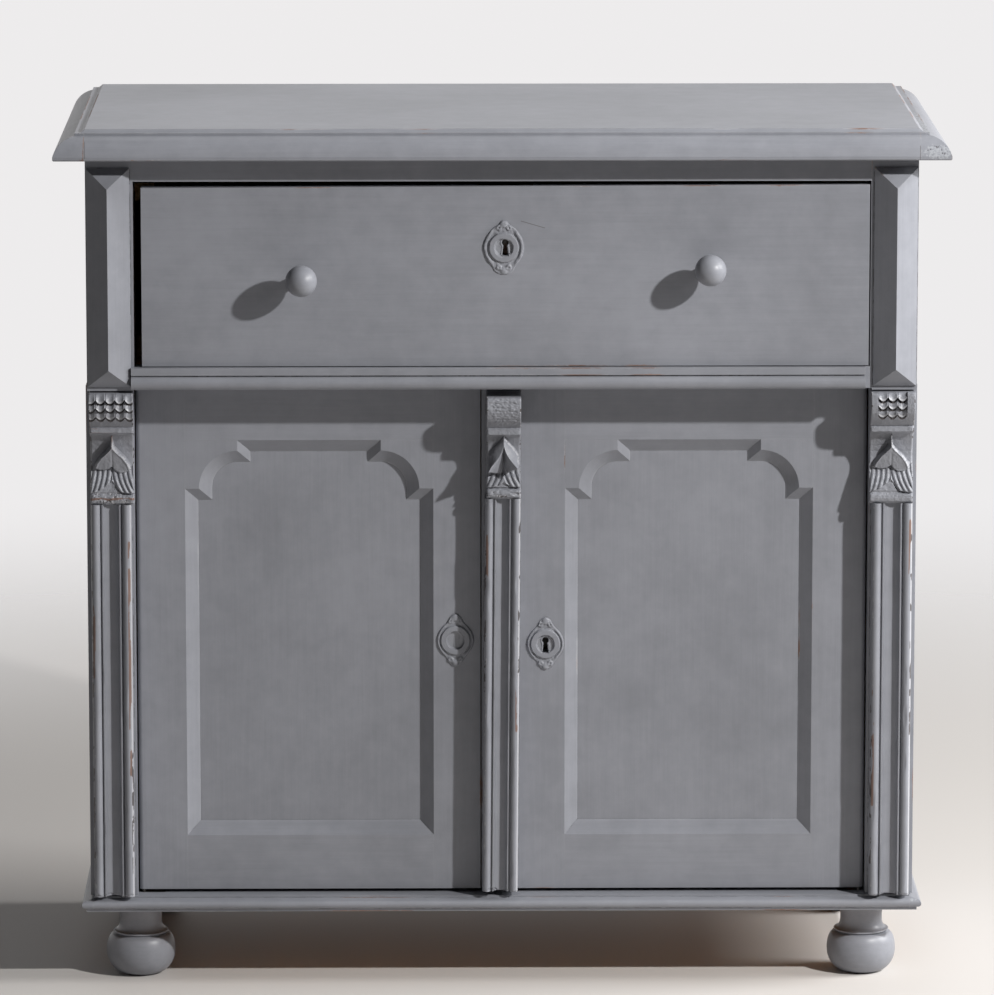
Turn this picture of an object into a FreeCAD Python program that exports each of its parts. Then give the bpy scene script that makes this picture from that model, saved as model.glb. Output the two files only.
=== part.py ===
"""A painted pine cupboard: one wide drawer over two panelled doors, on turned feet.

Millimetres. X runs to the right, Y to the back and Z up. The origin is on the floor,
at the middle of the whole piece. The front faces -Y.
"""
import FreeCAD, Part
import math
import os

V = FreeCAD.Vector
RIGHT = V(1, 0, 0)
BACK = V(0, 1, 0)
UP = V(0, 0, 1)
LEFT_SIDE = -1
RIGHT_SIDE = 1
SLOPED = 1
SQUARE = 0
FULL_TURN = 360

# Overall sizes
top_width = 1010.0
top_depth = 488.0
total_height = 995.5
foot_height = 85.4

# Top board and its moulded edge
top_thickness = 32.5
top_moulding_run = 35.0
top_bevel_run = 4.5
top_bevel_drop = 3.5
top_tread = 6.5
top_step_drop = 3.0
top_nose_height = 4.5
top_nose_round = 1.2
top_round_fullness_share = 0.655
top_front_overhang = 39.0
top_side_overhang = 34.5
top_back_overhang = 5.0

# Carcase
side_thickness = 20.0
post_width = 53.5
stile_width = 54.5
stile_lip = 3.5
stile_thickness = 22.0
back_thickness = 12.0
back_board_count = 4
back_board_gap = 1.0
bottom_thickness = 16.2
drawer_section_step = 52.0
stile_step = 12.0
post_drop = 2.0

# Rails round the drawer
frieze_height = 27.7
rail_thickness = 22.0
drawer_opening_height = 211.8
mid_rail_thickness = 25.0
mid_rail_depth = 82.0
rail_moulding_reach = 11.0
rail_moulding_left_lap = 3.3
rail_moulding_right_gap = 5.5
rail_band_reach = 8.0
rail_band_height = 8.5
rail_groove_height = 1.4
rail_groove_reach = 5.5
rail_foot_reach = 6.0

# Faceted blocks on the upper posts
block_width = 49.0
block_inner_margin = 3.5
block_top_margin = 12.5
block_bottom_margin = 5.0
block_slab = 3.0
facet_rise = 21.0
facet_inset = 21.5

# Corner pilasters and the centre strip
pilaster_width = 46.0
pilaster_shift = 1.95
pilaster_reach = 24.0
pilaster_gap = 2.2
strip_width = 40.5
strip_reach = 31.0
strip_lean = 3.2
strip_bottom_gap = 6.4
strip_cover = 0.6
strip_shift = 1.1
bead_width_share = 0.235
bead_depth_share = 0.14
fillet_depth_share = 0.07
flute_depth_share = 0.19
flute_groove = 1.6
flute_fillet = 1.4

# Carved brackets, corner and centre
console_width = 50.0
console_height = 132.5
console_reach = 50.0
console_top_gap = 2.0
centre_console_width = 39.0
centre_console_height = 121.6
centre_console_reach = 60.0
centre_console_drop = 7.4
centre_console_shift = 2.0
leaf_width_share = 0.93
leaf_reach_share = 0.44
centre_leaf_reach_share = 0.74
leaf_top_share = 0.4
leaf_widest_share = 0.7
leaf_bottom_share = 0.745
leaf_shoulder_share = 0.28
# How far each corner of the side outline stands out, and how far down it lies
console_outline_shares = [
    (0.97, 0.0), (1.0, 0.03), (1.0, 0.17), (0.88, 0.25), (0.64, 0.305), (0.58, 0.31), (0.6, 0.325),
    (0.6, 0.365), (0.4, 0.38), (0.27, 0.47), (0.22, 0.56), (0.23, 0.63), (0.3, 0.72), (0.37, 0.82),
    (0.41, 0.89), (0.38, 0.905),
]
console_band_end_shares = ((0.49, 0.95), (0.4, 1.0))
centre_outline_shares = [
    (0.97, 0.0), (1.0, 0.03), (1.0, 0.15), (0.9, 0.24), (0.74, 0.3), (0.71, 0.305), (0.73, 0.32),
    (0.73, 0.365), (0.58, 0.385), (0.5, 0.47), (0.48, 0.56), (0.44, 0.66), (0.43, 0.77), (0.48, 0.85),
    (0.51, 0.89), (0.48, 0.905),
]
centre_band_end_shares = ((0.58, 0.95), (0.49, 1.0))

# Moulded edge of the bottom board
bottom_front_reach = 20.0
base_moulding_reach = 13.0
base_lip_reach = 8.0
base_lip_height = 3.6
base_nose_rise = 8.7
base_nose_end_reach = 9.5
base_nose_end_rise = 12.8
base_shoulder_drop = 1.9

# Turned feet
foot_pad_radius = 27.0
foot_pad_height = 2.8
foot_ball_radius = 39.8
foot_ball_height = 26.5
foot_shoulder_radius = 33.5
foot_shoulder_height = 46.2
foot_groove_radius = 30.0
foot_collar_radius = 31.6
foot_collar_height = 48.6
foot_collar_edge = 2.2
foot_neck_radius = 24.4
foot_neck_height = 60.5
foot_top_radius = 26.0
foot_spigot_radius = 10.0
foot_spigot_length = 12.0
foot_inset_x = 52.0
foot_inset_y = 43.0
foot_setback = 66.0

# Drawer
drawer_gap_left = 9.1
drawer_gap_right = 1.6
drawer_gap_bottom = 1.0
drawer_gap_top_left = 7.3
drawer_gap_top_right = 4.3
drawer_front_thickness = 22.0
drawer_side_thickness = 12.0
drawer_side_height = 180.0
drawer_bottom_thickness = 8.0
drawer_bottom_lift = 12.0
drawer_groove = 5.0
drawer_back_gap = 3.0
drawer_lap = 8.0
drawer_slide_gap = 0.3
tail_count = 4
tail_flare = 3.0
tail_width_share = 0.55

# Drawer knobs
knob_radius = 17.8
knob_centre_reach = 35.2
knob_foot_radius = 11.0
knob_neck_radius = 7.2
knob_neck_reach = 8.0
knob_root_radius = 8.5
knob_spigot_radius = 6.0
knob_spigot_length = 18.0
knob_spacing_share = 0.56
knob_left_height = 102.1
knob_right_height = 113.5

# Drawer runners, kickers, dust board, shelf
runner_height = 8.0
runner_reach = 66.0
guide_height = 25.0
guide_gap = 1.0
kicker_gap = 2.0
kicker_height = 20.0
kicker_reach = 56.0
dust_board_thickness = 12.0
shelf_thickness = 18.0
shelf_height = 314.5
shelf_setback = 45.0
shelf_end_gap = 1.0
cleat_height = 25.0
cleat_thickness = 18.0

# Doors
door_thickness = 22.0
door_gap = 1.3
door_bottom_gap = 4.0
left_hinge_stile = 56.0
left_lock_stile = 53.95
right_hinge_stile = 61.5
right_lock_stile = 95.65
top_rail_height = 66.05
bottom_rail_height = 63.6
bevel_run = 15.0
bevel_depth = 13.0
corner_step = 16.0
corner_shoulder = 12.3
corner_radius = 44.0
panel_thickness = 7.0
panel_groove = 8.0

# Door pivots
pivot_inset = 5.0
pivot_pin_radius = 2.0
pivot_clearance = 0.05
pivot_pin_length = 9.0
pivot_plate_length = 28.0
pivot_plate_width = 12.0
pivot_plate_thickness = 2.5
pivot_edge = 3.4

# Keyhole plates
door_plate_radius = 21.4
door_plate_height = 63.0
drawer_plate_radius = 23.0
drawer_plate_height = 63.5
plate_thickness = 1.6
plate_ring_radius = 15.0
plate_ring_width = 2.4
plate_ring_height = 3.6
plate_crest_radius = 8.0
blind_disc_radius = 12.2
blind_disc_height = 2.6
blind_slot_width = 2.6
blind_slot_length = 12.0
blind_slot_depth = 1.0
keyhole_radius = 3.7
keyhole_length = 14.5
keyhole_neck_width = 4.2
keyhole_foot_width = 6.8
drawer_plate_x = 1.8
drawer_plate_rise = 135.4
drawer_keyhole_x = 3.4
drawer_keyhole_rise = 5.5
left_plate_x = 53.0
left_plate_rise = 296.35
right_plate_x = 50.3
right_plate_rise = 291.95
door_keyhole_rise = 4.0

# Locks and bolts
drawer_lock_width = 64.0
drawer_lock_height = 94.0
drawer_lock_depth = 13.0
lock_wall = 3.0
lock_top_gap = 0.5
bolt_width = 20.0
bolt_thickness = 6.0
bolt_length = 30.0
bolt_clearance = 0.3
drawer_bolt_travel = 14.0
bolt_end_gap = 2.0
mortise_margin = 2.0
door_lock_width = 78.0
door_lock_height = 80.0
door_lock_depth = 15.0
door_lock_inset = 1.0
door_bolt_travel = 10.0
keeper_wall = 2.2
keeper_inset = 1.8
slide_bolt_width = 8.0
slide_bolt_thickness = 4.0
slide_bolt_length = 70.0
slide_bolt_top_gap = 1.0
slide_bolt_travel = 8.0
slide_bolt_inset = 25.0
staple_height = 9.0
staple_wall = 1.8
staple_end_gap = 9.0
thumb_radius = 4.0
thumb_length = 7.0

# One overrun for every cut that runs past a face
overrun = 1.0

# Places worked out from the sizes above
knob_reach = knob_centre_reach + knob_radius
overall_depth = top_depth + knob_reach - top_front_overhang
drawer_face_y = knob_reach - overall_depth / 2
door_face_y = drawer_face_y + drawer_section_step
door_back_y = door_face_y + door_thickness
stile_front_y = door_face_y - stile_step
stile_back_y = stile_front_y + stile_thickness
top_front_y = drawer_face_y - top_front_overhang
top_back_y = top_front_y + top_depth
flat_front_y = top_front_y + top_moulding_run
case_back_y = top_back_y - top_back_overhang
back_front_y = case_back_y - back_thickness
mid_rail_back_y = drawer_face_y + mid_rail_depth
bottom_front_y = door_face_y - bottom_front_reach
foot_front_y = bottom_front_y - base_moulding_reach + foot_setback

top_half = top_width / 2
flat_half = top_half - top_moulding_run
case_half = top_half - top_side_overhang
side_inner = case_half - side_thickness
opening_half = case_half - post_width
stile_half = case_half + stile_lip
stile_inner = stile_half - stile_width

base_top_z = foot_height + bottom_thickness
top_under_z = total_height - top_thickness
frieze_bottom_z = top_under_z - frieze_height
mid_rail_top_z = frieze_bottom_z - drawer_opening_height
mid_rail_bottom_z = mid_rail_top_z - mid_rail_thickness
post_bottom_z = mid_rail_bottom_z - post_drop
dust_top_z = mid_rail_top_z - runner_height
dust_bottom_z = dust_top_z - dust_board_thickness
shelf_top_z = base_top_z + shelf_height
shelf_bottom_z = shelf_top_z - shelf_thickness

drawer_left_x = drawer_gap_left - opening_half
drawer_right_x = opening_half - drawer_gap_right
drawer_middle_x = (drawer_left_x + drawer_right_x) / 2
drawer_bottom_z = mid_rail_top_z + drawer_gap_bottom
drawer_side_bottom_z = mid_rail_top_z + drawer_slide_gap
drawer_side_top_z = drawer_side_bottom_z + drawer_side_height
drawer_inner_y = drawer_face_y + drawer_front_thickness
drawer_end_y = back_front_y - drawer_back_gap
drawer_plate_z = drawer_bottom_z + drawer_plate_rise
drawer_keyhole_z = drawer_plate_z + drawer_keyhole_rise
drawer_lock_top_z = frieze_bottom_z - drawer_gap_top_left - lock_top_gap

door_bottom_z = base_top_z + door_bottom_gap
door_top_z = mid_rail_bottom_z - door_gap
door_edge = stile_inner - door_gap
meeting_x = strip_shift - (strip_width / 2 + strip_lean + strip_cover)
left_door_end = meeting_x - door_gap
pivot_x = door_edge - pivot_inset
pivot_y = door_face_y + pivot_inset
panel_face_y = door_face_y + bevel_depth
panel_bottom_z = door_bottom_z + bottom_rail_height
panel_top_z = door_top_z - top_rail_height
left_plate_z = base_top_z + left_plate_rise
right_plate_z = base_top_z + right_plate_rise
right_keyhole_z = right_plate_z + door_keyhole_rise
lock_left_x = meeting_x + door_lock_inset
slide_bolt_x = left_door_end - slide_bolt_inset
slide_bolt_top_z = door_top_z - slide_bolt_top_gap


def box(x0, x1, y0, y1, z0, z1):
    """A plain block between two values on each axis."""
    return Part.makeBox(x1 - x0, y1 - y0, z1 - z0, V(x0, y0, z0))


def face_of(place, start, steps):
    """A flat face. A step is a point, or a pair of points for an arc through the first to the second."""
    edges = []
    here = start
    for step in list(steps) + [start]:
        if isinstance(step[0], tuple):
            middle, there = step
            edges.append(Part.Arc(place(*here), place(*middle), place(*there)).toShape())
            here = there
        elif step != here:
            edges.append(Part.makeLine(place(*here), place(*step)))
            here = step
    return Part.Face(Part.Wire(edges))


def along_x(start, steps, x0, x1):
    """An outline in Y and Z drawn out from x0 to x1."""
    return face_of(lambda y, z: V(x0, y, z), start, steps).extrude(RIGHT * (x1 - x0))


def along_y(start, steps, y0, y1):
    """An outline in X and Z drawn out from y0 to y1."""
    return face_of(lambda x, z: V(x, y0, z), start, steps).extrude(BACK * (y1 - y0))


def along_z(start, steps, z0, z1):
    """An outline in X and Y drawn out from z0 to z1."""
    return face_of(lambda x, y: V(x, y, z0), start, steps).extrude(UP * (z1 - z0))


def turned_upright(x, y, start, steps):
    """A piece turned about an upright axis, from an outline in radius and height."""
    outline = face_of(lambda r, z: V(x + r, y, z), start, steps)
    return outline.revolve(V(x, y, 0), UP, FULL_TURN)


def turned_forward(x, y, z, start, steps):
    """A piece turned about an axis that runs forward, from an outline in radius and reach."""
    outline = face_of(lambda r, reach: V(x + r, y - reach, z), start, steps)
    return outline.revolve(V(x, y, z), BACK, FULL_TURN)


def mirrored(shape):
    """The same shape on the other side of the middle."""
    return shape.mirror(V(0, 0, 0), RIGHT)


def both_sides(shape):
    """A shape and its mirror image, left one first."""
    return mirrored(shape), shape


def write(name, *solids):
    """Write one named piece, or a group of like solids, to its own file."""
    shape = solids[0] if len(solids) == 1 else Part.makeCompound(list(solids))
    shape.exportStep("parts/" + name + ".step")


def top_edge_outline(place):
    """Section of the moulded edge of the top: bevel, tread, step, quarter round and nose."""
    tread_end = top_bevel_run + top_tread
    round_top_z = total_height - top_bevel_drop - top_step_drop
    nose_top_z = top_under_z + top_nose_height
    round_run = top_moulding_run - tread_end
    round_drop = round_top_z - nose_top_z
    full = top_round_fullness_share
    middle = (place(tread_end + round_run * full), nose_top_z + round_drop * full)
    start = (place(0), top_under_z)
    steps = [
        (place(0), total_height),
        (place(top_bevel_run), total_height - top_bevel_drop),
        (place(tread_end), total_height - top_bevel_drop),
        (place(tread_end), round_top_z),
        (middle, (place(top_moulding_run), nose_top_z)),
        (place(top_moulding_run), top_under_z + top_nose_round),
        (place(top_moulding_run - top_nose_round), top_under_z),
    ]
    return start, steps


def make_top():
    """The top board, its front moulding and the two side mouldings with mitred corners."""
    write("top_board", box(-flat_half, flat_half, flat_front_y, top_back_y, top_under_z, total_height))
    start, steps = top_edge_outline(lambda out: flat_front_y - out)
    write("top_moulding_front", along_x(start, steps, -flat_half, flat_half))
    corner = along_x(start, steps, flat_half, top_half)
    behind = box(flat_half, top_half, flat_front_y, top_back_y, top_under_z, total_height)
    start, steps = top_edge_outline(lambda out: flat_half + out)
    side = along_y(start, steps, top_front_y, top_back_y).common(corner.fuse(behind))
    write("top_moulding_sides", *both_sides(side.removeSplitter()))


def make_sides_and_back():
    """Two side boards, the upright back boards and the corner posts and stiles."""
    side = box(side_inner, case_half, stile_back_y, case_back_y, base_top_z, top_under_z)
    post = box(opening_half, case_half, drawer_face_y, stile_back_y, post_bottom_z, top_under_z)
    # The door swings under this edge of the post
    post = post.cut(box(opening_half, stile_inner, drawer_face_y, stile_back_y, post_bottom_z, mid_rail_bottom_z))
    stile = box(stile_inner, stile_half, stile_front_y, stile_back_y, base_top_z, post_bottom_z)
    for name, shape in (("side", side), ("upper_post", post), ("lower_stile", stile)):
        left, right = both_sides(shape)
        write(name + "_left", left)
        write(name + "_right", right)
    gaps = back_board_gap * (back_board_count - 1)
    width = (side_inner * 2 - gaps) / back_board_count
    boards = []
    for index in range(back_board_count):
        x0 = index * (width + back_board_gap) - side_inner
        boards.append(box(x0, x0 + width, back_front_y, case_back_y, base_top_z, top_under_z))
    write("back_boards", *boards)


def lock_mortise():
    """The slot in the frieze rail that takes the drawer's bolt."""
    half = bolt_width / 2 + mortise_margin
    y0 = drawer_inner_y - drawer_lock_depth + lock_wall - mortise_margin
    y1 = y0 + bolt_thickness + 2 * mortise_margin
    z1 = drawer_lock_top_z + drawer_bolt_travel + bolt_end_gap
    return box(drawer_keyhole_x - half, drawer_keyhole_x + half, y0, y1, frieze_bottom_z - overrun, z1)


def pivot_plate_box(z0, z1):
    """The space of one right-hand pivot plate between two heights."""
    x1 = pivot_x + pivot_edge
    y0 = pivot_y - pivot_edge
    return box(x1 - pivot_plate_length, x1, y0, y0 + pivot_plate_width, z0, z1)


def make_rails():
    """The frieze rail, the rail under the drawer with its moulding, and the faceted blocks."""
    frieze = box(-opening_half, opening_half, drawer_face_y, drawer_face_y + rail_thickness,
                 frieze_bottom_z, top_under_z)
    write("frieze_rail", frieze.cut(lock_mortise()))

    rail = box(-opening_half, opening_half, drawer_face_y, mid_rail_back_y,
               mid_rail_bottom_z, mid_rail_top_z)
    pocket = pivot_plate_box(mid_rail_bottom_z, mid_rail_bottom_z + pivot_plate_thickness)
    for cut in both_sides(pocket):
        rail = rail.cut(cut)
    half = slide_bolt_width / 2 + bolt_clearance
    hole = box(slide_bolt_x - half, slide_bolt_x + half, door_back_y - bolt_clearance,
               door_back_y + slide_bolt_thickness + 2 * bolt_clearance,
               mid_rail_bottom_z - overrun, slide_bolt_top_z + slide_bolt_travel + bolt_end_gap)
    write("mid_rail", rail.cut(hole))

    def out(reach):
        return drawer_face_y - reach

    band_z = mid_rail_top_z - rail_band_height
    groove_z = band_z - rail_groove_height
    torus_middle_z = (mid_rail_bottom_z + groove_z) / 2
    start = (out(0), mid_rail_bottom_z)
    steps = [
        (out(rail_foot_reach), mid_rail_bottom_z),
        ((out(rail_moulding_reach), torus_middle_z), (out(rail_foot_reach), groove_z)),
        (out(rail_groove_reach), groove_z),
        (out(rail_groove_reach), band_z),
        (out(rail_band_reach), band_z),
        (out(rail_band_reach), mid_rail_top_z),
        (out(0), mid_rail_top_z),
    ]
    left_x = -(opening_half + rail_moulding_left_lap)
    write("mid_moulding", along_x(start, steps, left_x, opening_half - rail_moulding_right_gap))


def make_faceted_blocks():
    """Long blocks with four sloping faces, one on each upper post."""
    x0 = opening_half + block_inner_margin
    x1 = x0 + block_width
    z0 = post_bottom_z + block_bottom_margin
    z1 = top_under_z - block_top_margin
    slab_y = drawer_face_y - block_slab
    ridge_y = slab_y - facet_rise
    ridge_x = (x0 + x1) / 2
    start = (x0, drawer_face_y)
    steps = [(x0, slab_y), (ridge_x, ridge_y), (x1, slab_y), (x1, drawer_face_y)]
    ridged = along_z(start, steps, z0, z1)
    start = (drawer_face_y, z0)
    steps = [(slab_y, z0), (ridge_y, z0 + facet_inset), (ridge_y, z1 - facet_inset), (slab_y, z1),
             (drawer_face_y, z1)]
    left, right = both_sides(ridged.common(along_x(start, steps, x0, x1)))
    write("faceted_block_left", left)
    write("faceted_block_right", right)


def fluted(width, reach, x, back_y, z0, z1):
    """An upright strip with a bead on each edge and a broad flute between."""
    slab = reach - width * bead_depth_share
    level = reach - width * fillet_depth_share
    low = reach - width * flute_depth_share
    bead = width * bead_width_share
    bead_middle = width / 2 - bead / 2
    bead_inner = width / 2 - bead
    fillet_outer = bead_inner - flute_groove
    fillet_inner = fillet_outer - flute_fillet

    def at(across, out):
        return x + across, back_y - out

    start = at(-width / 2, 0)
    steps = [
        at(-width / 2, slab),
        (at(-bead_middle, reach), at(-bead_inner, slab)),
        at(-fillet_outer, slab),
        at(-fillet_outer, level),
        at(-fillet_inner, level),
        (at(0, low), at(fillet_inner, level)),
        at(fillet_outer, level),
        at(fillet_outer, slab),
        at(bead_inner, slab),
        (at(bead_middle, reach), at(width / 2, slab)),
        at(width / 2, 0),
    ]
    return along_z(start, steps, z0, z1)


def console(width, height, reach, x, back_y, top_z, outline_shares, band_end_shares, leaf_share):
    """A carved bracket: block, fillet, leaf on a hollow ground, petals and a rounded band."""
    def at(share):
        return back_y - reach * share[0], top_z - height * share[1]

    start = (back_y, top_z)
    steps = [at(share) for share in outline_shares]
    steps.append((at(band_end_shares[0]), at(band_end_shares[1])))
    steps.append((back_y, top_z - height))
    body = along_x(start, steps, x - width / 2, x + width / 2)
    half = width * leaf_width_share / 2
    tip_z = top_z - height * leaf_top_share
    wide_z = top_z - height * leaf_widest_share
    low_z = top_z - height * leaf_bottom_share
    shoulder_z = (tip_z + wide_z) / 2
    leaf = along_y((x, tip_z), [
        ((x + half * leaf_shoulder_share, shoulder_z), (x + half, wide_z)),
        (x, low_z),
        (x - half, wide_z),
        ((x - half * leaf_shoulder_share, shoulder_z), (x, tip_z)),
    ], back_y - reach * leaf_share, back_y)
    return body.fuse(leaf).removeSplitter()


def make_corner_ornament():
    """The consoles and pilasters of the two lower corners."""
    x = (opening_half + case_half) / 2
    top_z = post_bottom_z - console_top_gap
    bottom_z = top_z - console_height
    bracket = console(console_width, console_height, console_reach, x, stile_front_y, top_z,
                      console_outline_shares, console_band_end_shares, leaf_reach_share)
    pilaster = fluted(pilaster_width, pilaster_reach, x + pilaster_shift, stile_front_y,
                      base_top_z + pilaster_gap, bottom_z)
    for name, shape in (("console", bracket), ("pilaster", pilaster)):
        left, right = both_sides(shape)
        write(name + "_left", left)
        write(name + "_right", right)


def make_centre_ornament():
    """The strip that leans a little, and the console above it, both on the right door."""
    top_z = post_bottom_z - centre_console_drop
    strip_top_z = top_z - centre_console_height
    strip_bottom_z = base_top_z + strip_bottom_gap
    strip = fluted(strip_width, strip_reach, strip_shift, door_face_y, strip_bottom_z, strip_top_z)
    lean = math.degrees(math.atan(strip_lean / (strip_top_z - strip_bottom_z)))
    strip.rotate(V(strip_shift, door_face_y, strip_top_z), BACK, lean)
    room = box(-case_half, case_half, top_front_y, door_face_y, strip_bottom_z, strip_top_z)
    write("centre_strip", strip.common(room))
    write("centre_console", console(centre_console_width, centre_console_height, centre_console_reach,
                                    centre_console_shift, door_face_y, top_z, centre_outline_shares,
                                    centre_band_end_shares, centre_leaf_reach_share))


def base_edge_outline(place):
    """Section of the moulded edge of the bottom board: lip, round nose and shoulder."""
    lip_z = foot_height + base_lip_height
    start = (place(0), foot_height)
    steps = [
        (place(base_lip_reach), foot_height),
        (place(base_lip_reach), lip_z),
        ((place(base_moulding_reach), foot_height + base_nose_rise),
         (place(base_nose_end_reach), foot_height + base_nose_end_rise)),
        (place(0), base_top_z - base_shoulder_drop),
    ]
    return start, steps


def arc_middle(start, end):
    """Middle of the arc that leaves its start upright and reaches its end."""
    across = end[0] - start[0]
    rise = end[1] - start[1]
    half_turn = math.atan2(abs(across), abs(rise)) / 2
    reach = math.hypot(across, rise) / (2 * math.cos(half_turn))
    sideways = math.copysign(reach * math.sin(half_turn), across)
    upward = math.copysign(reach * math.cos(half_turn), rise)
    return start[0] + sideways, start[1] + upward


def foot(x, y):
    """One turned foot: pad, flattened ball, collar, hollow neck and spigot."""
    pad = (foot_pad_radius, foot_pad_height)
    widest = (foot_ball_radius, foot_ball_height)
    shoulder = (foot_shoulder_radius, foot_shoulder_height)
    collar = (foot_collar_radius, foot_collar_height + foot_collar_edge)
    neck = (foot_neck_radius, foot_neck_height)
    return turned_upright(x, y, (0, 0), [
        (foot_pad_radius, 0),
        pad,
        (arc_middle(widest, pad), widest),
        (arc_middle(widest, shoulder), shoulder),
        (foot_groove_radius, foot_collar_height),
        (foot_collar_radius, foot_collar_height),
        collar,
        (arc_middle(neck, collar), neck),
        (foot_top_radius, foot_height),
        (foot_spigot_radius, foot_height),
        (foot_spigot_radius, foot_height + foot_spigot_length),
        (0, foot_height + foot_spigot_length),
    ])


def make_base():
    """The bottom board, its moulded edge and the four feet."""
    board = box(-case_half, case_half, bottom_front_y, case_back_y, foot_height, base_top_z)
    foot_x = case_half - foot_inset_x
    rear_y = case_back_y - foot_inset_y
    write("foot_front_left", foot(-foot_x, foot_front_y))
    write("foot_front_right", foot(foot_x, foot_front_y))
    write("feet_rear", foot(-foot_x, rear_y), foot(foot_x, rear_y))
    for x in (-foot_x, foot_x):
        for y in (foot_front_y, rear_y):
            board = board.cut(Part.makeCylinder(foot_spigot_radius, foot_spigot_length, V(x, y, foot_height)))
    pocket = pivot_plate_box(base_top_z - pivot_plate_thickness, base_top_z)
    for cut in both_sides(pocket):
        board = board.cut(cut)
    write("bottom_board", board)

    start, steps = base_edge_outline(lambda out: bottom_front_y - out)
    write("base_moulding_front", along_x(start, steps, -case_half, case_half))
    outer = case_half + base_moulding_reach
    front_y = bottom_front_y - base_moulding_reach
    corner = along_x(start, steps, case_half, outer)
    behind = box(case_half, outer, bottom_front_y, case_back_y, foot_height, base_top_z)
    start, steps = base_edge_outline(lambda out: case_half + out)
    side = along_y(start, steps, front_y, case_back_y).common(corner.fuse(behind))
    write("base_moulding_sides", *both_sides(side.removeSplitter()))


def make_inside():
    """Dust board, runners with guides, kickers, shelf and its cleats."""
    dust_board = box(-side_inner, side_inner, mid_rail_back_y, back_front_y, dust_bottom_z, dust_top_z)
    write("dust_board", dust_board)

    def runner(side, drawer_edge):
        wall = side * side_inner
        shelf_end = wall - side * runner_reach
        guide_end = drawer_edge + side * guide_gap
        top_z = mid_rail_top_z + guide_height
        start = (wall, dust_top_z)
        steps = [(shelf_end, dust_top_z), (shelf_end, mid_rail_top_z), (guide_end, mid_rail_top_z),
                 (guide_end, top_z), (wall, top_z)]
        return along_y(start, steps, mid_rail_back_y, back_front_y)

    write("drawer_runners", runner(LEFT_SIDE, drawer_left_x), runner(RIGHT_SIDE, drawer_right_x))

    kicker_z = drawer_side_top_z + kicker_gap
    kicker = box(side_inner - kicker_reach, side_inner, stile_back_y, back_front_y,
                 kicker_z, kicker_z + kicker_height)
    write("drawer_kickers", *both_sides(kicker))

    shelf_y = door_face_y + shelf_setback
    shelf_half = side_inner - shelf_end_gap
    write("shelf", box(-shelf_half, shelf_half, shelf_y, back_front_y, shelf_bottom_z, shelf_top_z))
    cleat = box(side_inner - cleat_thickness, side_inner, shelf_y, back_front_y,
                shelf_bottom_z - cleat_height, shelf_bottom_z)
    write("shelf_cleats", *both_sides(cleat))


def keyhole(x, y0, y1, z):
    """The space of a keyhole, round above and flared below, from y0 to y1."""
    round_part = Part.makeCylinder(keyhole_radius, y1 - y0, V(x, y0, z), BACK)
    neck = keyhole_neck_width / 2
    foot_half = keyhole_foot_width / 2
    start = (x - neck, z)
    steps = [(x + neck, z), (x + foot_half, z - keyhole_length), (x - foot_half, z - keyhole_length)]
    return round_part.fuse(along_y(start, steps, y0, y1)).removeSplitter()


def keyhole_plate(x, face_y, z, radius, height):
    """A shield-shaped plate: disc, crests above and below, and a raised ring."""
    plate = Part.makeCylinder(radius, plate_thickness, V(x, face_y - plate_thickness, z), BACK)
    crest_z = height / 2 - plate_crest_radius
    for side in (-crest_z, crest_z):
        place = V(x, face_y - plate_thickness, z + side)
        plate = plate.fuse(Part.makeCylinder(plate_crest_radius, plate_thickness, place, BACK))
    ring_y = face_y - plate_ring_height
    outer = Part.makeCylinder(plate_ring_radius, plate_ring_height, V(x, ring_y, z), BACK)
    inner_radius = plate_ring_radius - plate_ring_width
    inner = Part.makeCylinder(inner_radius, plate_ring_height, V(x, ring_y, z), BACK)
    return plate.fuse(outer.cut(inner)).removeSplitter()


def tails(side):
    """The dovetails at the front of one drawer side."""
    edge = drawer_left_x if side == LEFT_SIDE else drawer_right_x
    inner = edge - side * drawer_side_thickness
    pitch = drawer_side_height / tail_count
    half = pitch * tail_width_share / 2
    end_y = drawer_face_y + drawer_lap
    shapes = []
    for index in range(tail_count):
        z = drawer_side_bottom_z + pitch * index + pitch / 2
        start = (drawer_inner_y, z - half)
        steps = [(end_y, z - half - tail_flare), (end_y, z + half + tail_flare), (drawer_inner_y, z + half)]
        shapes.append(along_x(start, steps, min(edge, inner), max(edge, inner)))
    return shapes


def drawer_bottom_box():
    """The drawer's bottom board, held in grooves at the sides and the front."""
    x0 = drawer_left_x + drawer_side_thickness - drawer_groove
    x1 = drawer_right_x - drawer_side_thickness + drawer_groove
    z0 = drawer_side_bottom_z + drawer_bottom_lift
    return box(x0, x1, drawer_inner_y - drawer_groove, drawer_end_y, z0, z0 + drawer_bottom_thickness)


def drawer_bolt_box(clearance):
    """The drawer's bolt at rest, or its slot when a clearance is given."""
    half = bolt_width / 2 + clearance
    y0 = drawer_inner_y - drawer_lock_depth + lock_wall
    return box(drawer_keyhole_x - half, drawer_keyhole_x + half,
               y0 - clearance, y0 + bolt_thickness + clearance,
               drawer_lock_top_z - bolt_length - clearance, drawer_lock_top_z)


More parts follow.
